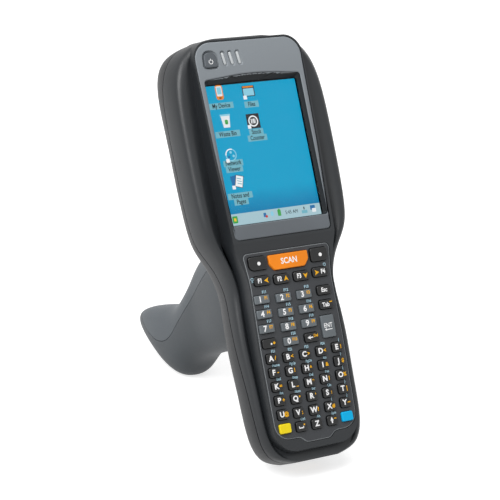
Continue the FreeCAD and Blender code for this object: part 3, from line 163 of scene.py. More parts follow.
def settle(name, mesh, body, materials, replaced=()):
    """Object of a finished mesh that rides on a body, with its materials."""
    mesh.name = name
    piece = bpy.data.objects.new(name, mesh)
    bpy.context.scene.collection.objects.link(piece)
    for material in materials:
        mesh.materials.append(material)
    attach(piece, body)
    if replaced:
        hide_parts(*replaced)
    return piece


def smooth(mesh, sharp):
    """Smooth a mesh between its sharp edges."""
    mesh.shade_smooth()
    mesh.set_sharp_from_angle(angle=sharp)


def from_bmesh(work, matrix):
    """Mesh of a drawing in millimetres, set in the frame, with smooth faces between sharp edges."""
    bmesh.ops.recalc_face_normals(work, faces=work.faces)
    work.transform(matrix)
    mesh = bpy.data.meshes.new("work")
    work.to_mesh(mesh)
    work.free()
    smooth(mesh, DRAWN_SHARP)
    return mesh


def slab(work, points, low, high, material=0):
    """Flat plate with a closed outline, added to a drawing."""
    bottom = [work.verts.new((x, y, low)) for x, y in points]
    top = [work.verts.new((x, y, high)) for x, y in points]
    faces = [work.faces.new(top), work.faces.new(list(reversed(bottom)))]
    count = len(points)
    for k in range(count):
        following = (k + 1) % count
        faces.append(work.faces.new((bottom[k], bottom[following], top[following], top[k])))
    for face in faces:
        face.material_index = material


def oblong(x, y, width, height, radius, steps=4, turn=0.0):
    """Outline of a rounded rectangle about a point."""
    points = []
    radius = min(radius, width / 2 - 0.001, height / 2 - 0.001)
    for quarter, (sx, sy) in enumerate(((1, 1), (-1, 1), (-1, -1), (1, -1))):
        cx, cy = sx * (width / 2 - radius), sy * (height / 2 - radius)
        for k in range(steps + 1):
            angle = math.pi / 2 * (quarter + k / steps)
            points.append((cx + radius * math.cos(angle), cy + radius * math.sin(angle)))
    c, s = math.cos(turn), math.sin(turn)
    return [(x + px * c - py * s, y + px * s + py * c) for px, py in points]


def ring_band(work, x, y, outer, inner, low, high, start=0.0, sweep=2 * math.pi, steps=24, material=0):
    """Part of a flat ring, added to a drawing."""
    whole = sweep > 2 * math.pi - 0.001
    count = steps if whole else steps + 1
    rows = []
    for k in range(count):
        angle = start + sweep * k / steps
        c, s = math.cos(angle), math.sin(angle)
        rows.append([work.verts.new((x + r * c, y + r * s, z)) for r, z in
                     ((outer, low), (outer, high), (inner, high), (inner, low))])
    pairs = list(zip(rows, rows[1:])) + ([(rows[-1], rows[0])] if whole else [])
    for a, b in pairs:
        for k in range(4):
            face = work.faces.new((a[k], a[(k + 1) % 4], b[(k + 1) % 4], b[k]))
            face.material_index = material
    if not whole:
        for row in (rows[0], rows[-1]):
            work.faces.new(row).material_index = material


GLYPHS = {}


def glyph_mesh(text, bold):
    """Flat letters of unit size, as lists of corners and faces."""
    if (text, bold) not in GLYPHS:
        curve = bpy.data.curves.new("glyph", "FONT")
        curve.body = text
        curve.align_x = "CENTER"
        curve.align_y = "CENTER"
        curve.resolution_u = 3
        curve.offset = bold
        curve.extrude = 0.5
        holder = bpy.data.objects.new("glyph", curve)
        bpy.context.scene.collection.objects.link(holder)
        bpy.context.view_layer.update()
        mesh = bpy.data.meshes.new_from_object(holder.evaluated_get(bpy.context.evaluated_depsgraph_get()))
        corners = [v.co.copy() for v in mesh.vertices]
        GLYPHS[(text, bold)] = (corners, [list(face.vertices) for face in mesh.polygons])
        bpy.data.objects.remove(holder)
        bpy.data.curves.remove(curve)
        bpy.data.meshes.remove(mesh)
    return GLYPHS[(text, bold)]


def write(work, text, x, y, size, low, high, material=0, bold=0.02, squeeze=1.0):
    """Letters about a point, added to a drawing: size is the font's, and a capital is CAPITAL of it."""
    corners, faces = glyph_mesh(text, bold)
    made = [work.verts.new((x + c.x * size * squeeze, y + c.y * size, low if c.z < 0 else high))
            for c in corners]
    for face in faces:
        work.faces.new([made[k] for k in face]).material_index = material


def pointer(x, y, size, turn):
    """Outline of an arrowhead about a point, pointing along a turn."""
    c, s = math.cos(turn), math.sin(turn)
    shape = ((0.55, 0), (-0.45, 0.52), (-0.2, 0), (-0.45, -0.52))
    return [(x + size * (px * c - py * s), y + size * (px * s + py * c)) for px, py in shape]


def rim_loops(crown):
    """Closed loops round a set of faces, each with the faces on its left."""
    region = set(crown)
    following = {}
    for face in crown:
        for corner in face.loops:
            if sum(other in region for other in corner.edge.link_faces) == 1:
                following[corner.vert] = corner.link_loop_next.vert
    loops = []
    while following:
        start, spot = next(iter(following.items()))
        chain = [start]
        del following[start]
        while spot is not start:
            chain.append(spot)
            spot = following.pop(spot)
        loops.append(chain)
    return loops


def inward(before, here, after):
    """Way from a corner of a loop into what lies on its left, longer at a bend."""
    first = (here.co - before.co).normalized()
    second = (after.co - here.co).normalized()
    one, two = Vector((-first.y, first.x, 0)), Vector((-second.y, second.x, 0))
    return (one + two) / max(0.4, 1 + one.dot(two))


def rounded_top(node, matrix, top, radius, steps=3, painted_highlight_material=0):
    """Mesh of a CAD node with its flat top's edges rounded: radius gives the rounding of a loop's size."""
    work = bmesh.new()
    work.from_mesh(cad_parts[node].data)
    bmesh.ops.remove_doubles(work, verts=work.verts, dist=WELD)
    work.transform(matrix.inverted())
    crown = [face for face in work.faces if all(abs(v.co.z - top) < 0.01 for v in face.verts)]
    ranks = {}
    loops = []
    for chain in rim_loops(crown):
        size = max(v.co.x for v in chain) - min(v.co.x for v in chain)
        bend = radius(size)
        if not bend:
            continue
        ways = [inward(chain[k - 1], v, chain[(k + 1) % len(chain)]) for k, v in enumerate(chain)]
        loops.append((chain, size))
        for v, way in zip(chain, ways):
            rank = []
            for step in range(1, steps + 1):
                turn = math.pi / 2 * step / steps
                inset = way * (bend * (1 - math.cos(turn)))
                drop = bend * (1 - math.sin(turn))
                rank.append(work.verts.new((v.co.x + inset.x, v.co.y + inset.y, top - drop)))
            inset = way * (bend + 0.03)
            rank.append(work.verts.new((v.co.x + inset.x, v.co.y + inset.y, top)))
            ranks[v] = rank
            v.co.z = top - bend
    for face in crown:
        work.faces.new([ranks[v][-1] if v in ranks else v for v in face.verts])
    for chain, size in loops:
        for k, v in enumerate(chain):
            after = chain[(k + 1) % len(chain)]
            one, two = [v] + ranks[v], [after] + ranks[after]
            for step in range(steps + 1):
                strip = work.faces.new((one[step], two[step], two[step + 1], one[step + 1]))
                # Painted highlight: the rounded strips of wide loops can take their own lighter material.
                strip.material_index = painted_highlight_material if size > WIDE else 0
    bmesh.ops.delete(work, geom=crown, context="FACES_ONLY")
    work.transform(matrix)
    mesh = bpy.data.meshes.new(node)
    work.to_mesh(mesh)
    work.free()
    smooth(mesh, PART_SHARP)
    return mesh


def stacked(work, rows, material=0):
    """Skin through closed outlines at their heights, with its two ends closed."""
    rings = [[work.verts.new((x, y, z)) for x, y in points] for points, z in rows]
    for low, high in zip(rings, rings[1:]):
        for k in range(len(low)):
            after = (k + 1) % len(low)
            work.faces.new((low[k], low[after], high[after], high[k])).material_index = material
    work.faces.new(list(reversed(rings[0]))).material_index = material
    work.faces.new(rings[-1]).material_index = material


def circle(radius, count=24):
    """Points round the axis."""
    return [(radius * math.cos(2 * math.pi * k / count), radius * math.sin(2 * math.pi * k / count))
            for k in range(count)]


def hexagon(radius, count=24):
    """Points round a hexagon, as many as a circle has."""
    points = []
    for k in range(count):
        angle = 2 * math.pi * k / count
        reach = radius * math.cos(math.pi / 6) / math.cos(angle % (math.pi / 3) - math.pi / 6)
        points.append((reach * math.cos(angle), reach * math.sin(angle)))
    return points


# Repeated parts

def geometry_tree(name, inputs):
    """Geometry tree with named inputs: its start, and the node near its end that makes instances real."""
    tree = bpy.data.node_groups.new(name, "GeometryNodeTree")
    for label, kind in (("Geometry", "Geometry"), *inputs, ("Finish", "Material")):
        tree.interface.new_socket(label, in_out="INPUT", socket_type="NodeSocket" + kind)
    tree.interface.new_socket("Geometry", in_out="OUTPUT", socket_type="NodeSocketGeometry")
    start, end = tree.nodes.new("NodeGroupInput"), tree.nodes.new("NodeGroupOutput")
    real = tree.nodes.new("GeometryNodeRealizeInstances")
    finish = tree.nodes.new("GeometryNodeSetMaterial")
    tree.links.new(real.outputs["Geometry"], finish.inputs["Geometry"])
    tree.links.new(start.outputs["Finish"], finish.inputs["Material"])
    tree.links.new(finish.outputs["Geometry"], end.inputs["Geometry"])
    return tree, start, real


def spread_tree():
    """Geometry tree that sets a part on each point of a mesh, stretched along its axis and turned."""
    tree, start, real = geometry_tree("spread_parts", (("Part", "Object"), ("Tilt", "Float"),
                                                       ("Chance turn", "Float"), ("Seed", "Int")))
    nodes, link = tree.nodes, tree.links.new
    part = nodes.new("GeometryNodeObjectInfo")
    reach = nodes.new("GeometryNodeInputNamedAttribute")
    reach.data_type = "FLOAT"
    reach.inputs["Name"].default_value = "reach"
    stretch = nodes.new("ShaderNodeCombineXYZ")
    settings(stretch, {"X": 1.0, "Y": 1.0})
    chance = nodes.new("FunctionNodeRandomValue")
    chance.data_type = "FLOAT"
    most = next(socket for socket in chance.inputs if socket.name == "Max" and socket.type == "VALUE")
    value = next(socket for socket in chance.outputs if socket.type == "VALUE")
    total = nodes.new("ShaderNodeMath")
    turn = nodes.new("ShaderNodeCombineXYZ")
    place = nodes.new("GeometryNodeInstanceOnPoints")
    link(start.outputs["Part"], part.inputs["Object"])
    link(reach.outputs["Attribute"], stretch.inputs["Z"])
    link(start.outputs["Chance turn"], most)
    link(start.outputs["Seed"], chance.inputs["Seed"])
    link(value, total.inputs[0])
    link(start.outputs["Tilt"], total.inputs[1])
    link(total.outputs["Value"], turn.inputs["Z"])
    link(start.outputs["Geometry"], place.inputs["Points"])
    link(part.outputs["Geometry"], place.inputs["Instance"])
    link(turn.outputs["Vector"], place.inputs["Rotation"])
    link(stretch.outputs["Vector"], place.inputs["Scale"])
    link(place.outputs["Instances"], real.inputs["Geometry"])
    return tree


def spread(tree, part, places, matrix, finish, tilt=0.0, chance=0.0, seed=3):
    """Plain mesh of a part set on places, which are x, y, z and the stretch along its axis."""
    points = bpy.data.meshes.new("places")
    points.from_pydata([place[:3] for place in places], [], [])
    points.attributes.new("reach", "FLOAT", "POINT").data.foreach_set("value", [place[3] for place in places])
    made = bpy.data.meshes.new("part")
    bmesh.ops.recalc_face_normals(part, faces=part.faces)
    part.to_mesh(made)
    part.free()
    smooth(made, PART_SHARP)
    single = bpy.data.objects.new("part", made)
    holder = bpy.data.objects.new("places", points)
    for item in (single, holder):
        bpy.context.scene.collection.objects.link(item)
    mesh = worked_out(holder, tree, {"Part": single, "Tilt": tilt, "Chance turn": chance, "Seed": seed,
                                     "Finish": finish})
    bpy.data.objects.remove(single)
    bpy.data.meshes.remove(made)
    mesh.transform(matrix)
    return mesh


def worked_out(holder, tree, values):
    """Plain mesh that a geometry tree makes of an object, which goes with its modifier."""
    modifier = holder.modifiers.new("build", "NODES")
    modifier.node_group = tree
    sockets = {item.name: item.identifier for item in tree.interface.items_tree if item.in_out == "INPUT"}
    for label, value in values.items():
        modifier[sockets[label]] = value
    bpy.context.view_layer.update()
    mesh = bpy.data.meshes.new_from_object(holder.evaluated_get(bpy.context.evaluated_depsgraph_get()))
    holder.modifiers.remove(modifier)
    data = holder.data
    bpy.data.objects.remove(holder)
    bpy.data.meshes.remove(data)
    mesh.materials.clear()
    mesh.materials.append(values["Finish"])
    for face in mesh.polygons:
        face.material_index = 0
    return mesh


def coil_tree():
    """Geometry tree of a round wire wound along z."""
    tree, start, real = geometry_tree("wound_wire", [(label, "Float") for label in
                                                     ("Radius", "Wire", "Length", "Turns")])
    nodes, link = tree.nodes, tree.links.new
    path = nodes.new("GeometryNodeCurveSpiral")
    path.inputs["Resolution"].default_value = 24
    section = nodes.new("GeometryNodeCurvePrimitiveCircle")
    section.inputs["Resolution"].default_value = 10
    wire = nodes.new("GeometryNodeCurveToMesh")
    wire.inputs["Fill Caps"].default_value = True
    for label, socket in (("Radius", "Start Radius"), ("Radius", "End Radius"), ("Length", "Height"),
                          ("Turns", "Rotations")):
        link(start.outputs[label], path.inputs[socket])
    link(start.outputs["Wire"], section.inputs["Radius"])
    link(path.outputs["Curve"], wire.inputs["Curve"])
    link(section.outputs["Curve"], wire.inputs["Profile Curve"])
    link(wire.outputs["Mesh"], real.inputs["Geometry"])
    return tree


def coil(tree, radius, wire, length, turns, matrix, finish):
    """Plain mesh of a wound spring."""
    holder = bpy.data.objects.new("coil", bpy.data.meshes.new("coil"))
    bpy.context.scene.collection.objects.link(holder)
    mesh = worked_out(holder, tree, {"Radius": radius, "Wire": wire, "Length": length, "Turns": turns,
                                     "Finish": finish})
    mesh.transform(matrix)
    mesh.shade_smooth()
    return mesh


# Materials

def settings(node, values):
    """Set a node's own sockets."""
    for name, value in values.items():
        node.inputs[name].default_value = value


def start_material(name):
    """New material with its tree, its shader and its object coordinates."""
    material = bpy.data.materials.new(name)
    material.use_nodes = True
    tree = material.node_tree
    shader = tree.nodes["Principled BSDF"]
    place = tree.nodes.new("ShaderNodeTexCoord")
    return material, tree, shader, place


def noise(tree, place, scale, detail=2.0, rough=0.5):
    """Noise on object coordinates."""
    node = tree.nodes.new("ShaderNodeTexNoise")
    settings(node, {"Scale": scale, "Detail": detail, "Roughness": rough})
    tree.links.new(place.outputs["Object"], node.inputs["Vector"])
    return node


def ramp(tree, source, low, high, start=0.3, stop=0.7):
    """Range of a value, mapped between two numbers."""
    node = tree.nodes.new("ShaderNodeMapRange")
    settings(node, {"From Min": start, "From Max": stop, "To Min": low, "To Max": high})
    tree.links.new(source, node.inputs["Value"])
    return node.outputs["Result"]


def blend(tree, factor, first, second):
    """Mix of two colours by a value."""
    node = tree.nodes.new("ShaderNodeMix")
    node.data_type = "RGBA"
    settings(node, {"A": (*first, 1), "B": (*second, 1)})
    tree.links.new(factor, node.inputs["Factor"])
    return node.outputs["Result"]


def moulded(name, colour, rough=0.45, grain=0.00035, depth=0.00002, shine=0.4, crown=None):
    """Moulded plastic with a fine grain and a slow change of shade: crown, where given, is a painted
    highlight, a lighter colour blended in higher up, towards the head.
    """
    material, tree, shader, place = start_material(name)
    fine = noise(tree, place, 1 / grain, 2.0, 0.6)
    broad = noise(tree, place, 22.0, 3.0)
    dark = tuple(c * 0.88 for c in colour)
    light = tuple(min(1.0, c * 1.12) for c in colour)
    shade = blend(tree, ramp(tree, broad.outputs["Fac"], 0.0, 1.0), dark, light)
    # Painted highlight: the crown colour is blended in with height, as if the top caught more light.
    if crown:
        height = tree.nodes.new("ShaderNodeSeparateXYZ")
        tree.links.new(place.outputs["Object"], height.inputs["Vector"])
        mixer = tree.nodes.new("ShaderNodeMix")
        mixer.data_type = "RGBA"
        mixer.inputs["B"].default_value = (*crown, 1)
        tree.links.new(shade, mixer.inputs["A"])
        tree.links.new(ramp(tree, height.outputs["Z"], 0.0, 1.0, 0.11, 0.20), mixer.inputs["Factor"])
        shade = mixer.outputs["Result"]
    tree.links.new(shade, shader.inputs["Base Color"])
    tree.links.new(ramp(tree, fine.outputs["Fac"], rough - 0.06, rough + 0.08), shader.inputs["Roughness"])
    bump = tree.nodes.new("ShaderNodeBump")
    settings(bump, {"Strength": 0.6, "Distance": depth})
    tree.links.new(fine.outputs["Fac"], bump.inputs["Height"])
    tree.links.new(bump.outputs["Normal"], shader.inputs["Normal"])
    shader.inputs["Specular IOR Level"].default_value = shine
    return material


def metal(name, colour, rough=0.3):
    """Metal with fine scratches."""
    material, tree, shader, place = start_material(name)
    stretch = tree.nodes.new("ShaderNodeMapping")
    stretch.inputs["Scale"].default_value = (1.0, 0.08, 0.08)
    tree.links.new(place.outputs["Object"], stretch.inputs["Vector"])
    scratches = noise(tree, place, 4000.0, 3.0)
    tree.links.new(stretch.outputs["Vector"], scratches.inputs["Vector"])
    gloss = ramp(tree, scratches.outputs["Fac"], rough - 0.1, rough + 0.15)
    tree.links.new(gloss, shader.inputs["Roughness"])
    dull = tuple(c * 0.85 for c in colour)
    tree.links.new(blend(tree, scratches.outputs["Fac"], dull, colour), shader.inputs["Base Color"])
    shader.inputs["Metallic"].default_value = 1.0
    return material


def printed(name, colour):
    """Printing ink, slightly uneven."""
    material, tree, shader, place = start_material(name)
    speckle = noise(tree, place, 3000.0)
    faded = tuple(c * 0.9 for c in colour)
    shade = blend(tree, ramp(tree, speckle.outputs["Fac"], 0.0, 1.0), faded, colour)
    tree.links.new(shade, shader.inputs["Base Color"])
    settings(shader, {"Roughness": 0.5, "Specular IOR Level": 0.25})
    return material


def lit(name, colour, strength, other=None):
    """Backlit picture element: other is the colour at the foot of the piece's own map."""
    material, tree, shader, place = start_material(name)
    settings(shader, {"Base Color": (0.01, 0.01, 0.01, 1), "Roughness": 0.4, "Specular IOR Level": 0.1,
                      "Emission Strength": strength})
    if other is None:
        cells = noise(tree, place, 5000.0, 0.0)
        faded = tuple(c * 0.94 for c in colour)
        tree.links.new(blend(tree, cells.outputs["Fac"], faded, colour), shader.inputs["Emission Color"])
        return material
    chart = tree.nodes.new("ShaderNodeSeparateXYZ")
    tree.links.new(place.outputs["UV"], chart.inputs["Vector"])
    cloud = noise(tree, place, 60.0, 3.0)
    soft = tree.nodes.new("ShaderNodeMath")
    soft.operation = "MULTIPLY_ADD"
    soft.inputs[1].default_value = 0.10
    tree.links.new(cloud.outputs["Fac"], soft.inputs[0])
    tree.links.new(chart.outputs["Y"], soft.inputs[2])
    rise = ramp(tree, soft.outputs["Value"], 0.0, 1.0, 0.10, 0.30)
    tree.links.new(blend(tree, rise, other, colour), shader.inputs["Emission Color"])
    return material


def clear_glass(name):
    """Clear glass with a faint smear in its gloss."""
    material, tree, shader, place = start_material(name)
    smear = noise(tree, place, 90.0, 4.0)
    tree.links.new(ramp(tree, smear.outputs["Fac"], 0.02, 0.08), shader.inputs["Roughness"])
    settings(shader, {"Base Color": (0.98, 0.99, 1.0, 1), "Transmission Weight": 1.0, "IOR": 1.05})
    return material


def circuit(name):
    """Green board with copper tracks under its lacquer."""
    material, tree, shader, place = start_material(name)
    tracks = tree.nodes.new("ShaderNodeTexBrick")
    settings(tracks, {"Scale": 260.0, "Mortar Size": 0.03, "Color1": (*linear("#14502c"), 1),
                      "Color2": (*linear("#1a5c35"), 1), "Mortar": (*linear("#3f8a4a"), 1)})
    tree.links.new(place.outputs["Object"], tracks.inputs["Vector"])
    tree.links.new(tracks.outputs["Color"], shader.inputs["Base Color"])
    shader.inputs["Roughness"].default_value = 0.35
    return material


def dress(nodes, material):
    """Give CAD nodes a material."""
    for node in nodes:
        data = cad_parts[node].data
        data.materials.clear()
        data.materials.append(material)
        for face in data.polygons:
            face.material_index = 0


# Layout of the keys

def arc(x, y):
    """Place of a key on its row's slight arc."""
    return x, y + 0.74 * (x / 20.0) ** 2


def number_spot(column, row):
    """Middle of a key of the number block."""
    return arc(NUMBER_COLUMNS[column], NUMBER_ROW_Y - row * NUMBER_PITCH)


def letter_spot(column, row):
    """Middle of a key of the letter block, with columns from -2 to 2."""
    pitch = LETTER_PITCH_TOP + (LETTER_PITCH_TAIL - LETTER_PITCH_TOP) * row / 5
    return arc(column * pitch, LETTER_ROW_Y - row * LETTER_PITCH_Y)


KEY_NODES = {
    "black": ["soft_key_left", "soft_key_right", *("function_key_%d" % k for k in range(1, 5)), "point_key",
              "backspace_key", "escape_key", "tab_key", *("letter_keys_row_%d" % k for k in range(1, 7))],
    "grey": [*("number_key_%d" % k for k in range(10)), "enter_key"],
    "orange": ["scan_key"],
    "yellow": ["yellow_key"],
    "blue": ["blue_key"],
}
LETTER_ROWS = ("ABCDE", "FGHIJ", "KLMNO", "PQRST", "UVWXY")
LETTER_MARKS = ("/<><!", "-!^&$", "=_*!%", "+\"':|", "@;?#~")
PANEL_NUMBER_WORDS = (("F11", "F12", "F13"), ("F14", "F15", "F16"), ("F17", "F18", "F19"), ("", "F20", ""))
PANEL_LETTER_WORDS = (("F21", "F22", "F23", "F24", "("), ("Home", "PgUp", "PgDn", "Ins", ")"),
                      ("End", "Bksp", "Del", "Pau", "["), ("Prt", "Num", "Scr", "Cln", "]"),
                      ("", "", "", "{", "}"), ("", "Ctrl", "Alt", "Sym", ""))


class Legend:
    """Drawing of the print on one key node: white is material 0 and amber is material 1."""

    def __init__(self, look):
        self.work = bmesh.new()
        self.size = look.letter / MM / CAPITAL
        self.low = KEY_TOP - PRINT_SINK
        self.high = KEY_TOP + PRINT_RISE

    def word(self, text, x, y, scale=1.0, material=0, bold=0.03, squeeze=1.0):
        write(self.work, text, x, y, self.size * scale, self.low, self.high, material, bold, squeeze)

    def plate(self, points, material=0):
        slab(self.work, points, self.low, self.high, material)

    def dot(self, x, y, radius, material=0):
        self.plate(oblong(x, y, 2 * radius, 2 * radius, radius, 5), material)

    def arrow(self, x, y, size, turn, material=1):
        self.plate(pointer(x, y, size, math.radians(turn)), material)


def key_legends(look):
    """Legend of every key node, by node."""
    made = {}

    def legend(node):
        if node not in made:
            made[node] = Legend(look)
        return made[node]

    for side, node in ((-1, "soft_key_left"), (1, "soft_key_right")):
        x, y = arc(side * 18.3, -56.9)
        legend(node).dot(x + 0.6, y - 0.2, 0.95)
    legend("scan_key").word("SCAN", 0.0, -57.0, 1.12, 0, 0.02, 0.9)
    for number, (x, turn) in enumerate(((-17.3, 180), (-5.83, 90), (5.83, -90), (17.3, 0)), 1):
        x, y = arc(x, -65.7)
        row = legend("function_key_%d" % number)
        side = -1 if number == 4 else 1
        row.word("F%d" % number, x - 1.5 * side, y, 0.86, 0, 0.035, 0.85)
        row.arrow(x + 2.3 * side, y - 0.1, 2.6, turn)
    for number in range(1, 10):
        x, y = number_spot((number - 1) % 3, (number - 1) // 3)
        row = legend("number_key_%d" % number)
        row.word(str(number), x - 1.2, y, 1.08, 0, 0.03)
        row.word("F%d" % number, x + 2.3, y + 0.5, 0.62, 1, 0.03, 0.9)
    x, y = number_spot(1, 3)
    legend("number_key_0").word("0", x - 1.4, y, 1.08, 0, 0.03)
    legend("number_key_0").word("F10", x + 2.0, y + 0.5, 0.6, 1, 0.03, 0.85)
    x, y = number_spot(0, 3)
    legend("point_key").dot(x + 0.9, y - 0.4, 0.5)
    legend("point_key").dot(x + 2.5, y - 0.1, 0.65, 1)
    x, y = number_spot(2, 3)
    row = legend("backspace_key")
    row.arrow(x - 1.6, y, 2.0, 180, 0)
    row.plate(oblong(x - 0.3, y, 2.0, 0.6, 0.1), 0)
    row.word("Del", x + 2.4, y + 0.6, 0.55, 1, 0.03, 0.9)
    x, y = number_spot(3, 0)
    legend("escape_key").word("Esc", x, y, 0.82, 0, 0.03, 0.9)
    x, y = number_spot(3, 1)
    legend("tab_key").word("Tab", x - 0.5, y - 0.2, 0.82, 0, 0.03, 0.9)
    legend("tab_key").plate(oblong(x + 2.6, y + 1.0, 1.7, 0.5, 0.1), 1)
    x, y = arc(16.55, NUMBER_ROW_Y - 2.5 * NUMBER_PITCH)
    row = legend("enter_key")
    row.word("ENT", x - 0.2, y + 0.4, 0.86, 0, 0.01, 0.85)
    row.plate(oblong(x + 0.2, y - 1.6, 3.6, 0.4, 0.1), 0)
    row.arrow(x - 1.9, y - 1.6, 1.4, 180, 0)
    for number, (letters, marks) in enumerate(zip(LETTER_ROWS, LETTER_MARKS)):
        row = legend("letter_keys_row_%d" % (number + 1))
        for column in range(5):
            x, y = letter_spot(column - 2, number)
            row.word(letters[column], x - 0.5, y, 1.0, 0, 0.04)
            row.word(marks[column], x + 1.95, y, 0.72, 1, 0.04)
    row = legend("letter_keys_row_6")
    x, y = letter_spot(-1, 5)
    row.plate(oblong(x - 0.2, y - 0.7, 2.6, 0.5, 0.1), 0)
    for side in (-1, 1):
        row.plate(oblong(x - 0.2 + 1.2 * side, y - 0.3, 0.45, 1.0, 0.1), 0)
    row.dot(x + 1.7, y + 0.8, 0.45, 1)
    x, y = letter_spot(0, 5)
    row.word("Z", x, y, 1.0, 0, 0.04)
    x, y = letter_spot(1, 5)
    row.arrow(x - 0.4, y + 0.6, 2.0, 90, 0)
    row.plate(oblong(x - 0.4, y - 0.7, 0.8, 1.4, 0.1), 0)
    row.plate(oblong(x + 1.7, y + 0.8, 1.4, 0.5, 0.1), 1)
    return made


# Operators

class TERMINAL_OT_shells(bpy.types.Operator):
    """Dress the two body shells, the battery, its latch and the trigger's pin"""
    bl_idname = "terminal.shells"
    bl_label = "Body shells"

    def execute(self, context):
        look = context.scene.terminal_shell
        dress(["front_housing"], moulded("front_shell_plastic", look.front, 0.40, look.grain, 0.00002, 0.45))
        dress(["rear_housing"], moulded("rear_shell_plastic", look.rear, 0.46, look.grain, 0.00003, 0.4))
        dress(["battery_pack"], moulded("battery_plastic", look.rear, 0.48, look.grain, 0.00003, 0.4))
        dress(["battery_latch"], moulded("latch_plastic", look.rear, 0.36, look.grain, 0.00001, 0.5))
        dress(["trigger_pin"], metal("pin_steel", linear("#8c8e91"), 0.32))
        return {"FINISHED"}


class TERMINAL_OT_bezel(bpy.types.Operator):
    """Make the bezel with rounded edges, the lamps, and the power key with its mark"""
    bl_idname = "terminal.bezel"
    bl_label = "Bezel, lamps and power key"

    def execute(self, context):
        look = context.scene.terminal_shell
        keys = context.scene.terminal_keys
        # The bezel's finish carries a painted highlight that lightens it towards its head.
        grey = moulded("bezel_plastic_painted_highlight", look.bezel, 0.42, look.grain, 0.00002, 0.4, look.bezel_head)
        edge = look.edge / MM
        mesh = rounded_top("display_bezel", STAND, 2.8, lambda size: edge if size > 20 else edge / 4)
        # Painted shade: the walls of the screen's recess are drawn near black, where shade falls.
        drawing = STAND.inverted()
        for face in mesh.polygons:
            spot = drawing @ face.center
            if abs(spot.x) < 28.6 and -37.0 < spot.y < 40.8 and spot.z < 2.3:
                face.material_index = 1
        painted_shade_recess = moulded("screen_recess_painted_shade", linear("#17191b"), 0.5, look.grain, 0.00001, 0.3)
        settle("bezel_frame", mesh, ROOT, [grey, painted_shade_recess], ["display_bezel"])
        self.lamps()
        rubber = moulded("power_key_rubber", look.bezel, 0.5, look.grain, 0.00001, 0.3)
        top = 3.2
        mesh = rounded_top("power_key", STAND, top, lambda size: 0.5)
        settle("power_key_cap", mesh, "power_key_body", [rubber], ["power_key"])
        work = bmesh.new()
        low, high = top - PRINT_SINK, top + PRINT_RISE
        ring_band(work, -22.8, 47.3, 1.25, 0.95, low, high, math.radians(125), math.radians(290), 20)
        slab(work, oblong(-22.8, 48.3, 0.32, 1.2, 0.1), low, high)
        settle("power_mark", from_bmesh(work, STAND), "power_key_body", [printed("power_ink", keys.ink)])
        return {"FINISHED"}

    @staticmethod
    def lamps():
        """Three slanted lenses of the lamps."""
        lens = bmesh.new()
        stacked(lens, [(oblong(0, 0, 1.5 - 2 * inset, 6.6 - 2 * inset, 0.74 - inset), z)
                       for inset, z in ((0.0, -2.2), (0.0, 2.25), (0.08, 2.48), (0.28, 2.6))])
        places = [(x, 48.5, 0.0, 1.0) for x in (-14.7, -10.4, -6.0)]
        finish = moulded("lamp_lens", linear("#c3c7c9"), 0.2, 0.0006, 0.000005, 0.5)
        mesh = spread(spread_tree(), lens, places, STAND, finish, math.radians(8.0))
        settle("lamp_lenses", mesh, ROOT, [], ["led_light_pipes"])


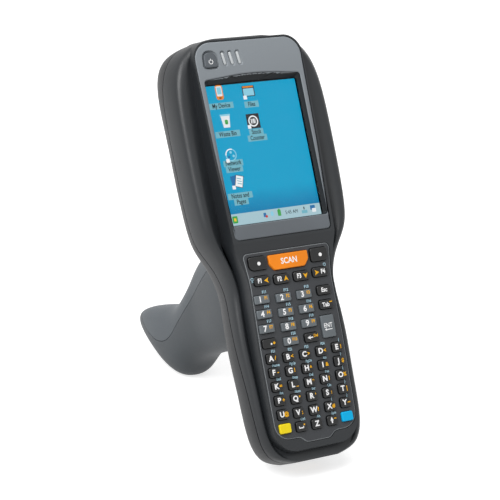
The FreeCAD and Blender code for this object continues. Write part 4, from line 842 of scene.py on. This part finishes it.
class TERMINAL_OT_screen(bpy.types.Operator):
    """Make the lit desktop with its icons and task bar, behind clear glass"""
    bl_idname = "terminal.screen"
    bl_label = "Screen"

    half_width = 26.82
    half_height = 35.76
    bar_top = -29.9
    page_turn = math.radians(-16)
    # Rounded plates about a point: their middle, width, height, corner, colour, layer and turn
    plates = {
        (0.0, 0.0): (
            (-24.2, -32.8, 3.0, 3.6, 0.5, "#3fa34a", 2), (-24.2, -32.8, 1.3, 1.6, 0.3, "#f3c93a", 3),
            (-6.6, -32.4, 1.6, 2.2, 0.3, "#1f6fa8", 2), (-5.7, -33.2, 1.2, 1.2, 0.2, "#d23c2c", 3),
            (-2.3, -32.2, 1.7, 2.4, 0.8, "#8fd0e4", 2), (2.0, -32.2, 1.9, 3.2, 0.3, "#3fa34a", 2),
            (2.0, -30.4, 0.9, 0.5, 0.1, "#3fa34a", 2), (17.0, -33.4, 3.4, 1.6, 0.3, "#74b6c6", 2),
            (17.0, -31.6, 0.6, 1.4, 0.1, "#08161c", 2), (22.2, -31.8, 2.9, 2.4, 0.3, "#1f6fa8", 2),
            (22.8, -33.2, 2.4, 2.0, 0.3, "#e9edf0", 3)),
        (-19.0, 32.2): (
            (0, 0, 4.2, 7.6, 1.2, "#e8862a", 2), (0, 0.6, 3.2, 5.2, 0.5, "#e9edf0", 3),
            (0, 0.8, 2.4, 3.6, 0.2, "#8fd0e4", 4), (0, -2.9, 1.4, 0.6, 0.2, "#2b2b2e", 4)),
        (-2.0, 31.3): (
            (0, 0.2, 7.2, 5.6, 0.5, "#2b2b2e", 2), (0, -0.3, 6.2, 3.8, 0.2, "#8fd0e4", 3),
            (0, 2.4, 6.2, 0.8, 0.1, "#e8862a", 3), (-2.6, -3.0, 2.0, 2.0, 0.1, "#f2f6f8", 4)),
        (-18.4, 17.4): (
            (0, 3.0, 6.0, 0.9, 0.4, "#8fd0e4", 3), (0.2, -0.6, 1.8, 2.4, 0.6, "#3fa34a", 3)),
        (-2.6, 15.9): (
            (0, 0, 7.6, 7.6, 0.3, "#2b2b2e", 2), (-2.8, -2.8, 1.9, 1.9, 0.1, "#f2f6f8", 4)),
        (-19.3, 0.0): ((-2.4, -2.8, 1.9, 1.9, 0.1, "#f2f6f8", 4),),
        (-18.6, -13.8): (
            (-1.2, 0.4, 4.6, 5.6, 0.3, "#1f6fa8", 2, 0.12), (1.0, 0, 4.6, 6.2, 0.2, "#2b2b2e", 3, page_turn),
            (1.0, 0, 4.0, 5.6, 0.2, "#f2f6f8", 4, page_turn), (-2.6, -2.8, 1.9, 1.9, 0.1, "#f2f6f8", 5)),
    }

    def execute(self, context):
        look = context.scene.terminal_screen
        dress(["touch_panel"], clear_glass("touch_glass"))
        dress(["display_module"], moulded("display_border", linear("#0b0c0d"), 0.3, 0.0004, 0.000005, 0.3))
        self.desktop(look)
        self.icons(look)
        return {"FINISHED"}

    def desktop(self, look):
        """Blue desktop, with a map for its darker foot."""
        work = bmesh.new()
        outline = oblong(0, 0, 2 * self.half_width, 2 * self.half_height, 0.6)
        slab(work, outline, SCREEN_FLOOR - PRINT_SINK, SCREEN_FLOOR + LAYER)
        chart = work.loops.layers.uv.new("UVMap")
        for face in work.faces:
            for loop in face.loops:
                x, y = loop.vert.co.xy
                loop[chart].uv = ((x + self.half_width) / (2 * self.half_width),
                                  (y + self.half_height) / (2 * self.half_height))
        light = lit("desktop_light", look.sky, look.glow, look.deep)
        settle("desktop", from_bmesh(work, STAND), ROOT, [light])

    def icons(self, look):
        """Icons, their name plates and the task bar, each in its own colours."""
        work = self.work = bmesh.new()
        colours = ("#a9c9d2", "#74b6c6", "#08161c", "#f2f6f8", "#e8862a", "#8fd0e4", "#3fa34a", "#2b2b2e",
                   "#d23c2c", "#e9edf0", "#f3c93a", "#1f6fa8")
        self.paint = {code: k for k, code in enumerate(colours)}
        bar_low, bar_high = -self.half_height, self.bar_top
        bar = oblong(0, (bar_low + bar_high) / 2, 2 * self.half_width, bar_high - bar_low, 0.3)
        self.part(bar, "#a9c9d2", 1)
        write(work, "5:45 AM", 9.3, -32.6, 2.6, *self.level(3), self.paint["#08161c"], 0.0, 0.85)
        names = ((-19.4, 25.3, "My Device"), (-1.6, 24.6, "Files"), (-18.7, 10.7, "Waste Bin"),
                 (-2.0, 8.7, "Stock/Counter"), (-18.9, -5.8, "Network/Viewer"),
                 (-18.6, -22.6, "Notes and/Pages"))
        for x, y, name in names:
            lines = name.split("/")
            for k, line in enumerate(lines):
                line_y = y + 1.55 * (len(lines) - 1) - 3.1 * k
                self.part(oblong(x, line_y, 1.5 * len(line) + 0.8, 3.2, 0.1), "#74b6c6", 1)
                write(work, line, x, line_y, 3.3, *self.level(3), self.paint["#08161c"], 0.015, 0.74)
        for (x, y), rows in self.plates.items():
            for dx, dy, width, height, corner, code, layer, *turn in rows:
                self.part(oblong(x + dx, y + dy, width, height, corner, 4, *turn), code, layer)
        self.bin_sides(-18.4, 17.4)
        self.counter_face(-2.6, 15.9)
        self.network_rings(-19.3, 0.0)
        for k in range(3):
            self.part(oblong(-17.5, -12.4 - 1.3 * k, 2.6, 0.4, 0.1, 2, self.page_turn), "#74b6c6", 5)
        finishes = [lit("picture_" + code[1:], linear(code), look.glow) for code in colours]
        settle("desktop_icons", from_bmesh(work, STAND), ROOT, finishes)

    @staticmethod
    def level(layer):
        """Heights of a layer of the picture."""
        return SCREEN_FLOOR + LAYER * layer, SCREEN_FLOOR + LAYER * layer + 0.03

    def part(self, points, code, layer):
        """Plate of one colour in a layer of the picture."""
        low, high = self.level(layer)
        slab(self.work, points, low, high, self.paint[code])

    def bin_sides(self, x, y):
        """Sloping sides of the bin."""
        sides = [(x + 2.7, y + 3.0), (x + 1.8, y - 3.4), (x - 1.8, y - 3.4), (x - 2.7, y + 3.0)]
        self.part(sides, "#e9edf0", 2)

    def counter_face(self, x, y):
        """Ring and bars of the counter."""
        ring_band(self.work, x, y, 2.9, 2.2, *self.level(3), material=self.paint["#f2f6f8"])
        for k, width in enumerate((0.5, 0.3, 0.7, 0.3)):
            self.part(oblong(x - 1.1 + 0.75 * k, y, width, 2.4, 0.05), "#f2f6f8", 4)

    def network_rings(self, x, y):
        """Ring of the network, part of it lit, with its three stations."""
        ring_band(self.work, x, y, 3.2, 2.7, *self.level(2), material=self.paint["#8fd0e4"])
        ring_band(self.work, x, y, 3.2, 2.6, *self.level(3), math.radians(70), math.radians(110), 12,
                  self.paint["#f2f6f8"])
        for dx, dy, code in ((0.0, 1.3, "#8fd0e4"), (-1.3, -0.9, "#1f6fa8"), (1.4, -0.7, "#8fd0e4")):
            self.part(oblong(x + dx, y + dy, 1.3, 1.3, 0.6), code, 3)


class TERMINAL_OT_keys(bpy.types.Operator):
    """Make every key with a rounded top, and print its legend on it"""
    bl_idname = "terminal.keys"
    bl_label = "Keys and legends"

    def execute(self, context):
        look = context.scene.terminal_keys
        finishes = {
            "black": moulded("black_key_plastic", look.black, 0.34, 0.0005, 0.000008, 0.5),
            "grey": moulded("grey_key_plastic", look.grey, 0.36, 0.0005, 0.000008, 0.45),
            "orange": moulded("orange_key_plastic", look.orange, 0.4, 0.0005, 0.000008, 0.3),
            "yellow": moulded("yellow_key_plastic", look.yellow, 0.4, 0.0005, 0.000008, 0.3),
            "blue": moulded("blue_key_plastic", look.blue, 0.4, 0.0005, 0.000008, 0.3),
        }
        edge = look.edge / MM
        for kind, nodes in KEY_NODES.items():
            for node in nodes:
                mesh = rounded_top(node, KEYPAD, KEY_TOP, lambda size: edge)
                settle(node + "_cap", mesh, node + "_body", [finishes[kind]], [node])
        inks = [printed("white_ink", look.ink), printed("amber_ink", look.amber)]
        for node, legend in key_legends(look).items():
            settle(node + "_legend", from_bmesh(legend.work, KEYPAD), node + "_body", inks)
        return {"FINISHED"}


class TERMINAL_OT_panel(bpy.types.Operator):
    """Finish the keypad panel, and print the small light blue legends on it"""
    bl_idname = "terminal.panel"
    bl_label = "Keypad panel"

    def execute(self, context):
        look = context.scene.terminal_keys
        shell = context.scene.terminal_shell
        finishes = [moulded("keypad_panel_plastic", shell.panel, 0.5, 0.0003, 0.00001, 0.35),
                    # The second finish is a painted highlight on the panel's rounded edge.
                    moulded("keypad_panel_painted_highlight", shell.rim, 0.4, 0.0003, 0.00001, 0.4)]
        mesh = rounded_top("keypad_panel", KEYPAD, 0.0, lambda size: 0.45 if size > WIDE else 0.12, 3, 1)
        settle("keypad_face", mesh, ROOT, finishes, ["keypad_panel"])
        work = bmesh.new()
        low, high = -PRINT_SINK, PRINT_RISE
        blocks = ((PANEL_NUMBER_WORDS, 0, number_spot, 2.4, 3.55, 2.05, 0.9),
                  (PANEL_LETTER_WORDS, -2, letter_spot, 2.0, 3.5, 1.95, 0.85))
        for block, first, spot, right, up, size, squeeze in blocks:
            for row, words in enumerate(block):
                for column, word in enumerate(words, first):
                    if word:
                        x, y = spot(column, row)
                        write(work, word, x + right, y + up, size, low, high, 0, 0.03, squeeze)
        self.lamp_mark(work, -22.6, -64.2, low, high)
        self.lamp_mark(work, 21.0, -62.0, low, high)
        settle("panel_legends", from_bmesh(work, KEYPAD), ROOT, [printed("light_blue_ink", look.sky)])
        return {"FINISHED"}

    @staticmethod
    def lamp_mark(work, x, y, low, high):
        """Small lamp printed beside the keys."""
        ring_band(work, x, y + 0.3, 0.85, 0.55, low, high, steps=12)
        slab(work, oblong(x, y - 1.1, 0.9, 0.3, 0.1), low, high)


class TERMINAL_OT_fasteners(bpy.types.Operator):
    """Set the screws of the housing and of the grip, with socket heads and threads"""
    bl_idname = "terminal.fasteners"
    bl_label = "Screws"

    def execute(self, context):
        steel = metal("screw_steel", linear("#8c8e91"), 0.32)
        tree = spread_tree()
        posts = ((34.0, 35.0, 11.2), (36.0, -22.0, 11.2), (25.4, -74.0, 10.3))
        housing = [(side * x, y, -20.5, reach) for x, y, reach in posts for side in (1, -1)]
        turned = Matrix.Rotation(math.pi / 2, 4, "X")
        grip = [(0.0, -78.0, 56.0, 16.0), (0.0, -98.0, 66.5, 16.0)]
        for name, places, matrix in (("housing_screws", housing, STAND),
                                     ("grip_screws", grip, STAND @ turned)):
            heads = [(*place[:3], 1.0) for place in places]
            mesh = spread(tree, self.head(), heads, matrix, steel, 0.0, math.pi / 3)
            settle(name + "_heads", mesh, ROOT, [], [name])
            mesh = spread(tree, self.shank(), places, matrix, steel)
            settle(name + "_shanks", mesh, ROOT, [])
        return {"FINISHED"}

    @staticmethod
    def head():
        """Pan head with its hexagonal socket, seated at z = 0."""
        part = bmesh.new()
        stacked(part, [(hexagon(1.1), -0.8), (hexagon(1.1), -1.8), (circle(2.15), -1.8), (circle(2.4), -1.7),
                       (circle(2.5), -1.45), (circle(2.5), -0.05), (circle(2.45), 0.0), (circle(1.1), 0.0)])
        return part

    @staticmethod
    def shank():
        """Threaded shank of unit length."""
        part = bmesh.new()
        crest, root, turns, sides = 1.2, 0.95, 14, 16
        plain, threaded = 0.12, 0.84
        rows = [(circle(crest, sides), -0.02)]
        for k in range(turns):
            foot = plain + threaded * k / turns
            rows += [(circle(crest, sides), foot), (circle(root, sides), foot + threaded / 2 / turns)]
        rows += [(circle(1.15, sides), 0.97), (circle(0.85, sides), 1.0)]
        stacked(part, rows)
        return part


class TERMINAL_OT_springs(bpy.types.Operator):
    """Wind the latch's spring and the trigger's spring"""
    bl_idname = "terminal.springs"
    bl_label = "Springs"

    def execute(self, context):
        steel = metal("spring_steel", linear("#9fa1a3"), 0.28)
        tree = coil_tree()
        foot, length, height = -98.3, 9.3, -27.15
        along = Matrix.Translation(Vector((0, foot, height))) @ Matrix.Rotation(-math.pi / 2, 4, "X")
        wire, turns = 0.35, 6.0
        mesh = coil(tree, 1.3, wire, length, turns, STAND @ along, steel)
        spring = settle("latch_coil", mesh, ROOT, [], ["latch_spring"])
        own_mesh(spring)
        across = Matrix.Translation(Vector((-4.2, -39.5, -41.0))) @ Matrix.Rotation(math.pi / 2, 4, "Y")
        mesh = coil(tree, 2.25, wire, 8.4, turns, STAND @ across, steel)
        settle("trigger_coil", mesh, ROOT, [], ["trigger_spring"])
        return {"FINISHED"}


class TERMINAL_OT_dock(bpy.types.Operator):
    """Make the dock connector in the tail, with its row of contact pads"""
    bl_idname = "terminal.dock"
    bl_label = "Dock connector"

    def execute(self, context):
        outwards = STAND @ Matrix.Rotation(math.pi / 2, 4, "X")
        work = bmesh.new()
        stacked(work, [(oblong(0, -20.75, 20.0 - 2 * inset, 5.5 - 2 * inset, 0.5), z)
                       for inset, z in ((0.0, 153.8), (0.0, 156.0), (0.2, 156.2))])
        settle("dock_block", from_bmesh(work, outwards), ROOT,
               [moulded("dock_plastic", linear("#141516"), 0.4)], ["dock_connector"])
        pad = bmesh.new()
        stacked(pad, [(oblong(0, 0, 1.0 - 2 * inset, 2.4 - 2 * inset, 0.2), z)
                      for inset, z in ((0.0, 156.0), (0.0, 156.42), (0.08, 156.5))])
        places = [(-8.5 + 17.0 * k / 9, -20.75, 0.0, 1.0) for k in range(10)]
        mesh = spread(spread_tree(), pad, places, outwards, metal("pad_gold", linear("#d9a54a"), 0.22))
        settle("dock_pads", mesh, ROOT, [])
        return {"FINISHED"}


class TERMINAL_OT_grip(bpy.types.Operator):
    """Dress the two shells of the pistol grip and its trigger"""
    bl_idname = "terminal.grip"
    bl_label = "Pistol grip"

    def execute(self, context):
        look = context.scene.terminal_shell
        for side in ("front", "rear"):
            colour = getattr(look, "grip_" + side)
            finish = moulded("grip_%s_plastic" % side, colour, 0.5, look.grain, 0.00003, 0.35)
            dress(["grip_%s_shell" % side], finish)
        dress(["trigger"], moulded("trigger_plastic", linear("#17181a"), 0.38, look.grain, 0.00001, 0.45))
        return {"FINISHED"}


class TERMINAL_OT_inside(bpy.types.Operator):
    """Dress what lies inside or shows through an opening"""
    bl_idname = "terminal.inside"
    bl_label = "Inner parts"

    def execute(self, context):
        dress(["keypad_board", "main_board", "indicator_board"], circuit("circuit_board"))
        dress(["dome_sheet"], moulded("dome_film", linear("#cfccc2"), 0.4, 0.0006, 0.00001, 0.4))
        dress(["display_frame", "processor_shield"], metal("pressed_steel", linear("#b4b6b8"), 0.34))
        dress(["battery_contacts"], metal("contact_gold", linear("#d9a54a"), 0.22))
        dress(["trigger_switch", "speaker"], moulded("connector_plastic", linear("#141516"), 0.4))
        dress(["scan_engine"], moulded("engine_paint", linear("#1b1c1e"), 0.42))
        dress(["scan_window"], moulded("scan_window_gloss", linear("#24060a"), 0.08, 0.002, 0.000001, 0.6))
        return {"FINISHED"}


class TERMINAL_OT_stage(bpy.types.Operator):
    """Make the pale floor, the soft lights, the white room and the camera"""
    bl_idname = "terminal.stage"
    bl_label = "Stage"

    def execute(self, context):
        look = context.scene.terminal_stage
        self.floor()
        self.room(look)
        self.lamp("light_left", (-1.0, -0.3, 1.15), look.left)
        self.lamp("light_top", (0.1, -0.1, 1.5), look.top)
        self.lamp("light_right", (1.1, 0.5, 0.7), look.right)
        self.camera(look)
        context.scene.view_settings.view_transform = "Standard"
        return {"FINISHED"}

    def floor(self):
        """Pale floor that keeps a faint shadow."""
        half = 6.0
        corners = [(-half, -half, 0), (half, -half, 0), (half, half, 0), (-half, half, 0)]
        mesh = bpy.data.meshes.new("stage_floor")
        mesh.from_pydata(corners, [], [(0, 1, 2, 3)])
        material, tree, shader, place = start_material("pale_floor")
        broad = noise(tree, place, 3.0)
        shade = blend(tree, broad.outputs["Fac"], (0.60, 0.60, 0.60), (0.62, 0.62, 0.62))
        tree.links.new(shade, shader.inputs["Base Color"])
        settings(shader, {"Roughness": 0.9, "Specular IOR Level": 0.0, "Emission Color": (1, 1, 1, 1)})
        strength = tree.nodes.new("ShaderNodeMath")
        strength.operation = "MULTIPLY"
        strength.inputs[1].default_value = 0.72
        tree.links.new(self.seen(tree), strength.inputs[0])
        tree.links.new(strength.outputs["Value"], shader.inputs["Emission Strength"])
        mesh.materials.append(material)
        floor = bpy.data.objects.new("stage_floor", mesh)
        bpy.context.scene.collection.objects.link(floor)

    @staticmethod
    def seen(tree):
        """1 for what is seen by the camera, in a gloss or through glass."""
        path = tree.nodes.new("ShaderNodeLightPath")
        total = path.outputs["Is Camera Ray"]
        for name in ("Is Glossy Ray", "Is Transmission Ray"):
            adder = tree.nodes.new("ShaderNodeMath")
            adder.operation = "MAXIMUM"
            tree.links.new(total, adder.inputs[0])
            tree.links.new(path.outputs[name], adder.inputs[1])
            total = adder.outputs["Value"]
        return total

    def room(self, look):
        """White room for what sees it, and an even softer light for the rest."""
        world = bpy.data.worlds.new("white_room")
        bpy.context.scene.world = world
        world.use_nodes = True
        tree = world.node_tree
        back = tree.nodes["Background"]
        back.inputs["Color"].default_value = (1, 1, 1, 1)
        strength = tree.nodes.new("ShaderNodeMapRange")
        settings(strength, {"To Min": look.room, "To Max": 1.0})
        tree.links.new(self.seen(tree), strength.inputs["Value"])
        tree.links.new(strength.outputs["Result"], back.inputs["Strength"])

    @staticmethod
    def lamp(name, place, power, size=0.9):
        """Large soft light that faces the terminal."""
        data = bpy.data.lights.new(name, "AREA")
        data.shape = "SQUARE"
        data.size = size
        data.energy = power
        lamp = bpy.data.objects.new(name, data)
        lamp.location = place
        lamp.rotation_mode = "QUATERNION"
        lamp.rotation_quaternion = (Vector((0, 0, 0.1)) - Vector(place)).to_track_quat("-Z", "Y")
        bpy.context.scene.collection.objects.link(lamp)

    @staticmethod
    def camera(look):
        """Camera at the photograph's angle."""
        turn = Matrix(((0.8514, -0.1929, 0.4878), (0.1253, 0.9778, 0.1680), (-0.5094, -0.0819, 0.8566)))
        offset = Vector((7.4187, 50.2997, -988.65))
        data = bpy.data.cameras.new("view_camera")
        data.lens = look.lens
        data.sensor_width = 36.0
        data.sensor_fit = "HORIZONTAL"
        data.clip_start, data.clip_end = 0.05, 30.0
        camera = bpy.data.objects.new("view_camera", data)
        camera.rotation_mode = "QUATERNION"
        camera.location = STAND @ (turn.transposed() @ -offset)
        camera.rotation_quaternion = (STAND_TURN.to_3x3() @ turn.transposed()).to_quaternion()
        bpy.context.scene.collection.objects.link(camera)
        bpy.context.scene.camera = camera


class TERMINAL_PT_panel(bpy.types.Panel):
    """List of the terminal's operators"""
    bl_idname = "TERMINAL_PT_panel"
    bl_label = "Barcode Terminal"
    bl_space_type = "VIEW_3D"
    bl_region_type = "UI"
    bl_category = "Terminal"

    def draw(self, context):
        for operator in OPERATORS:
            self.layout.operator(operator.bl_idname)
        for name in GROUPS:
            group = getattr(context.scene, name)
            box = self.layout.box()
            for key in group.bl_rna.properties.keys():
                if key not in ("rna_type", "name"):
                    box.prop(group, key)


OPERATORS = (TERMINAL_OT_shells, TERMINAL_OT_bezel, TERMINAL_OT_screen, TERMINAL_OT_keys, TERMINAL_OT_panel,
             TERMINAL_OT_fasteners, TERMINAL_OT_springs, TERMINAL_OT_dock, TERMINAL_OT_grip,
             TERMINAL_OT_inside, TERMINAL_OT_stage)
GROUPS = {"terminal_shell": TERMINAL_PG_shell, "terminal_keys": TERMINAL_PG_keys,
          "terminal_screen": TERMINAL_PG_screen, "terminal_stage": TERMINAL_PG_stage}


def register():
    """Register the classes and their settings."""
    for group in GROUPS.values():
        bpy.utils.register_class(group)
    for name, group in GROUPS.items():
        setattr(bpy.types.Scene, name, PointerProperty(type=group))
    for operator in OPERATORS:
        bpy.utils.register_class(operator)
    bpy.utils.register_class(TERMINAL_PT_panel)


def unregister():
    """Take the classes and their settings away."""
    bpy.utils.unregister_class(TERMINAL_PT_panel)
    for operator in reversed(OPERATORS):
        bpy.utils.unregister_class(operator)
    for name in GROUPS:
        delattr(bpy.types.Scene, name)
    for group in reversed(list(GROUPS.values())):
        bpy.utils.unregister_class(group)


def main():
    """Make everything in order."""
    register()
    for operator in OPERATORS:
        getattr(bpy.ops.terminal, operator.bl_idname.partition(".")[2])()


if __name__ == "__main__":
    main()
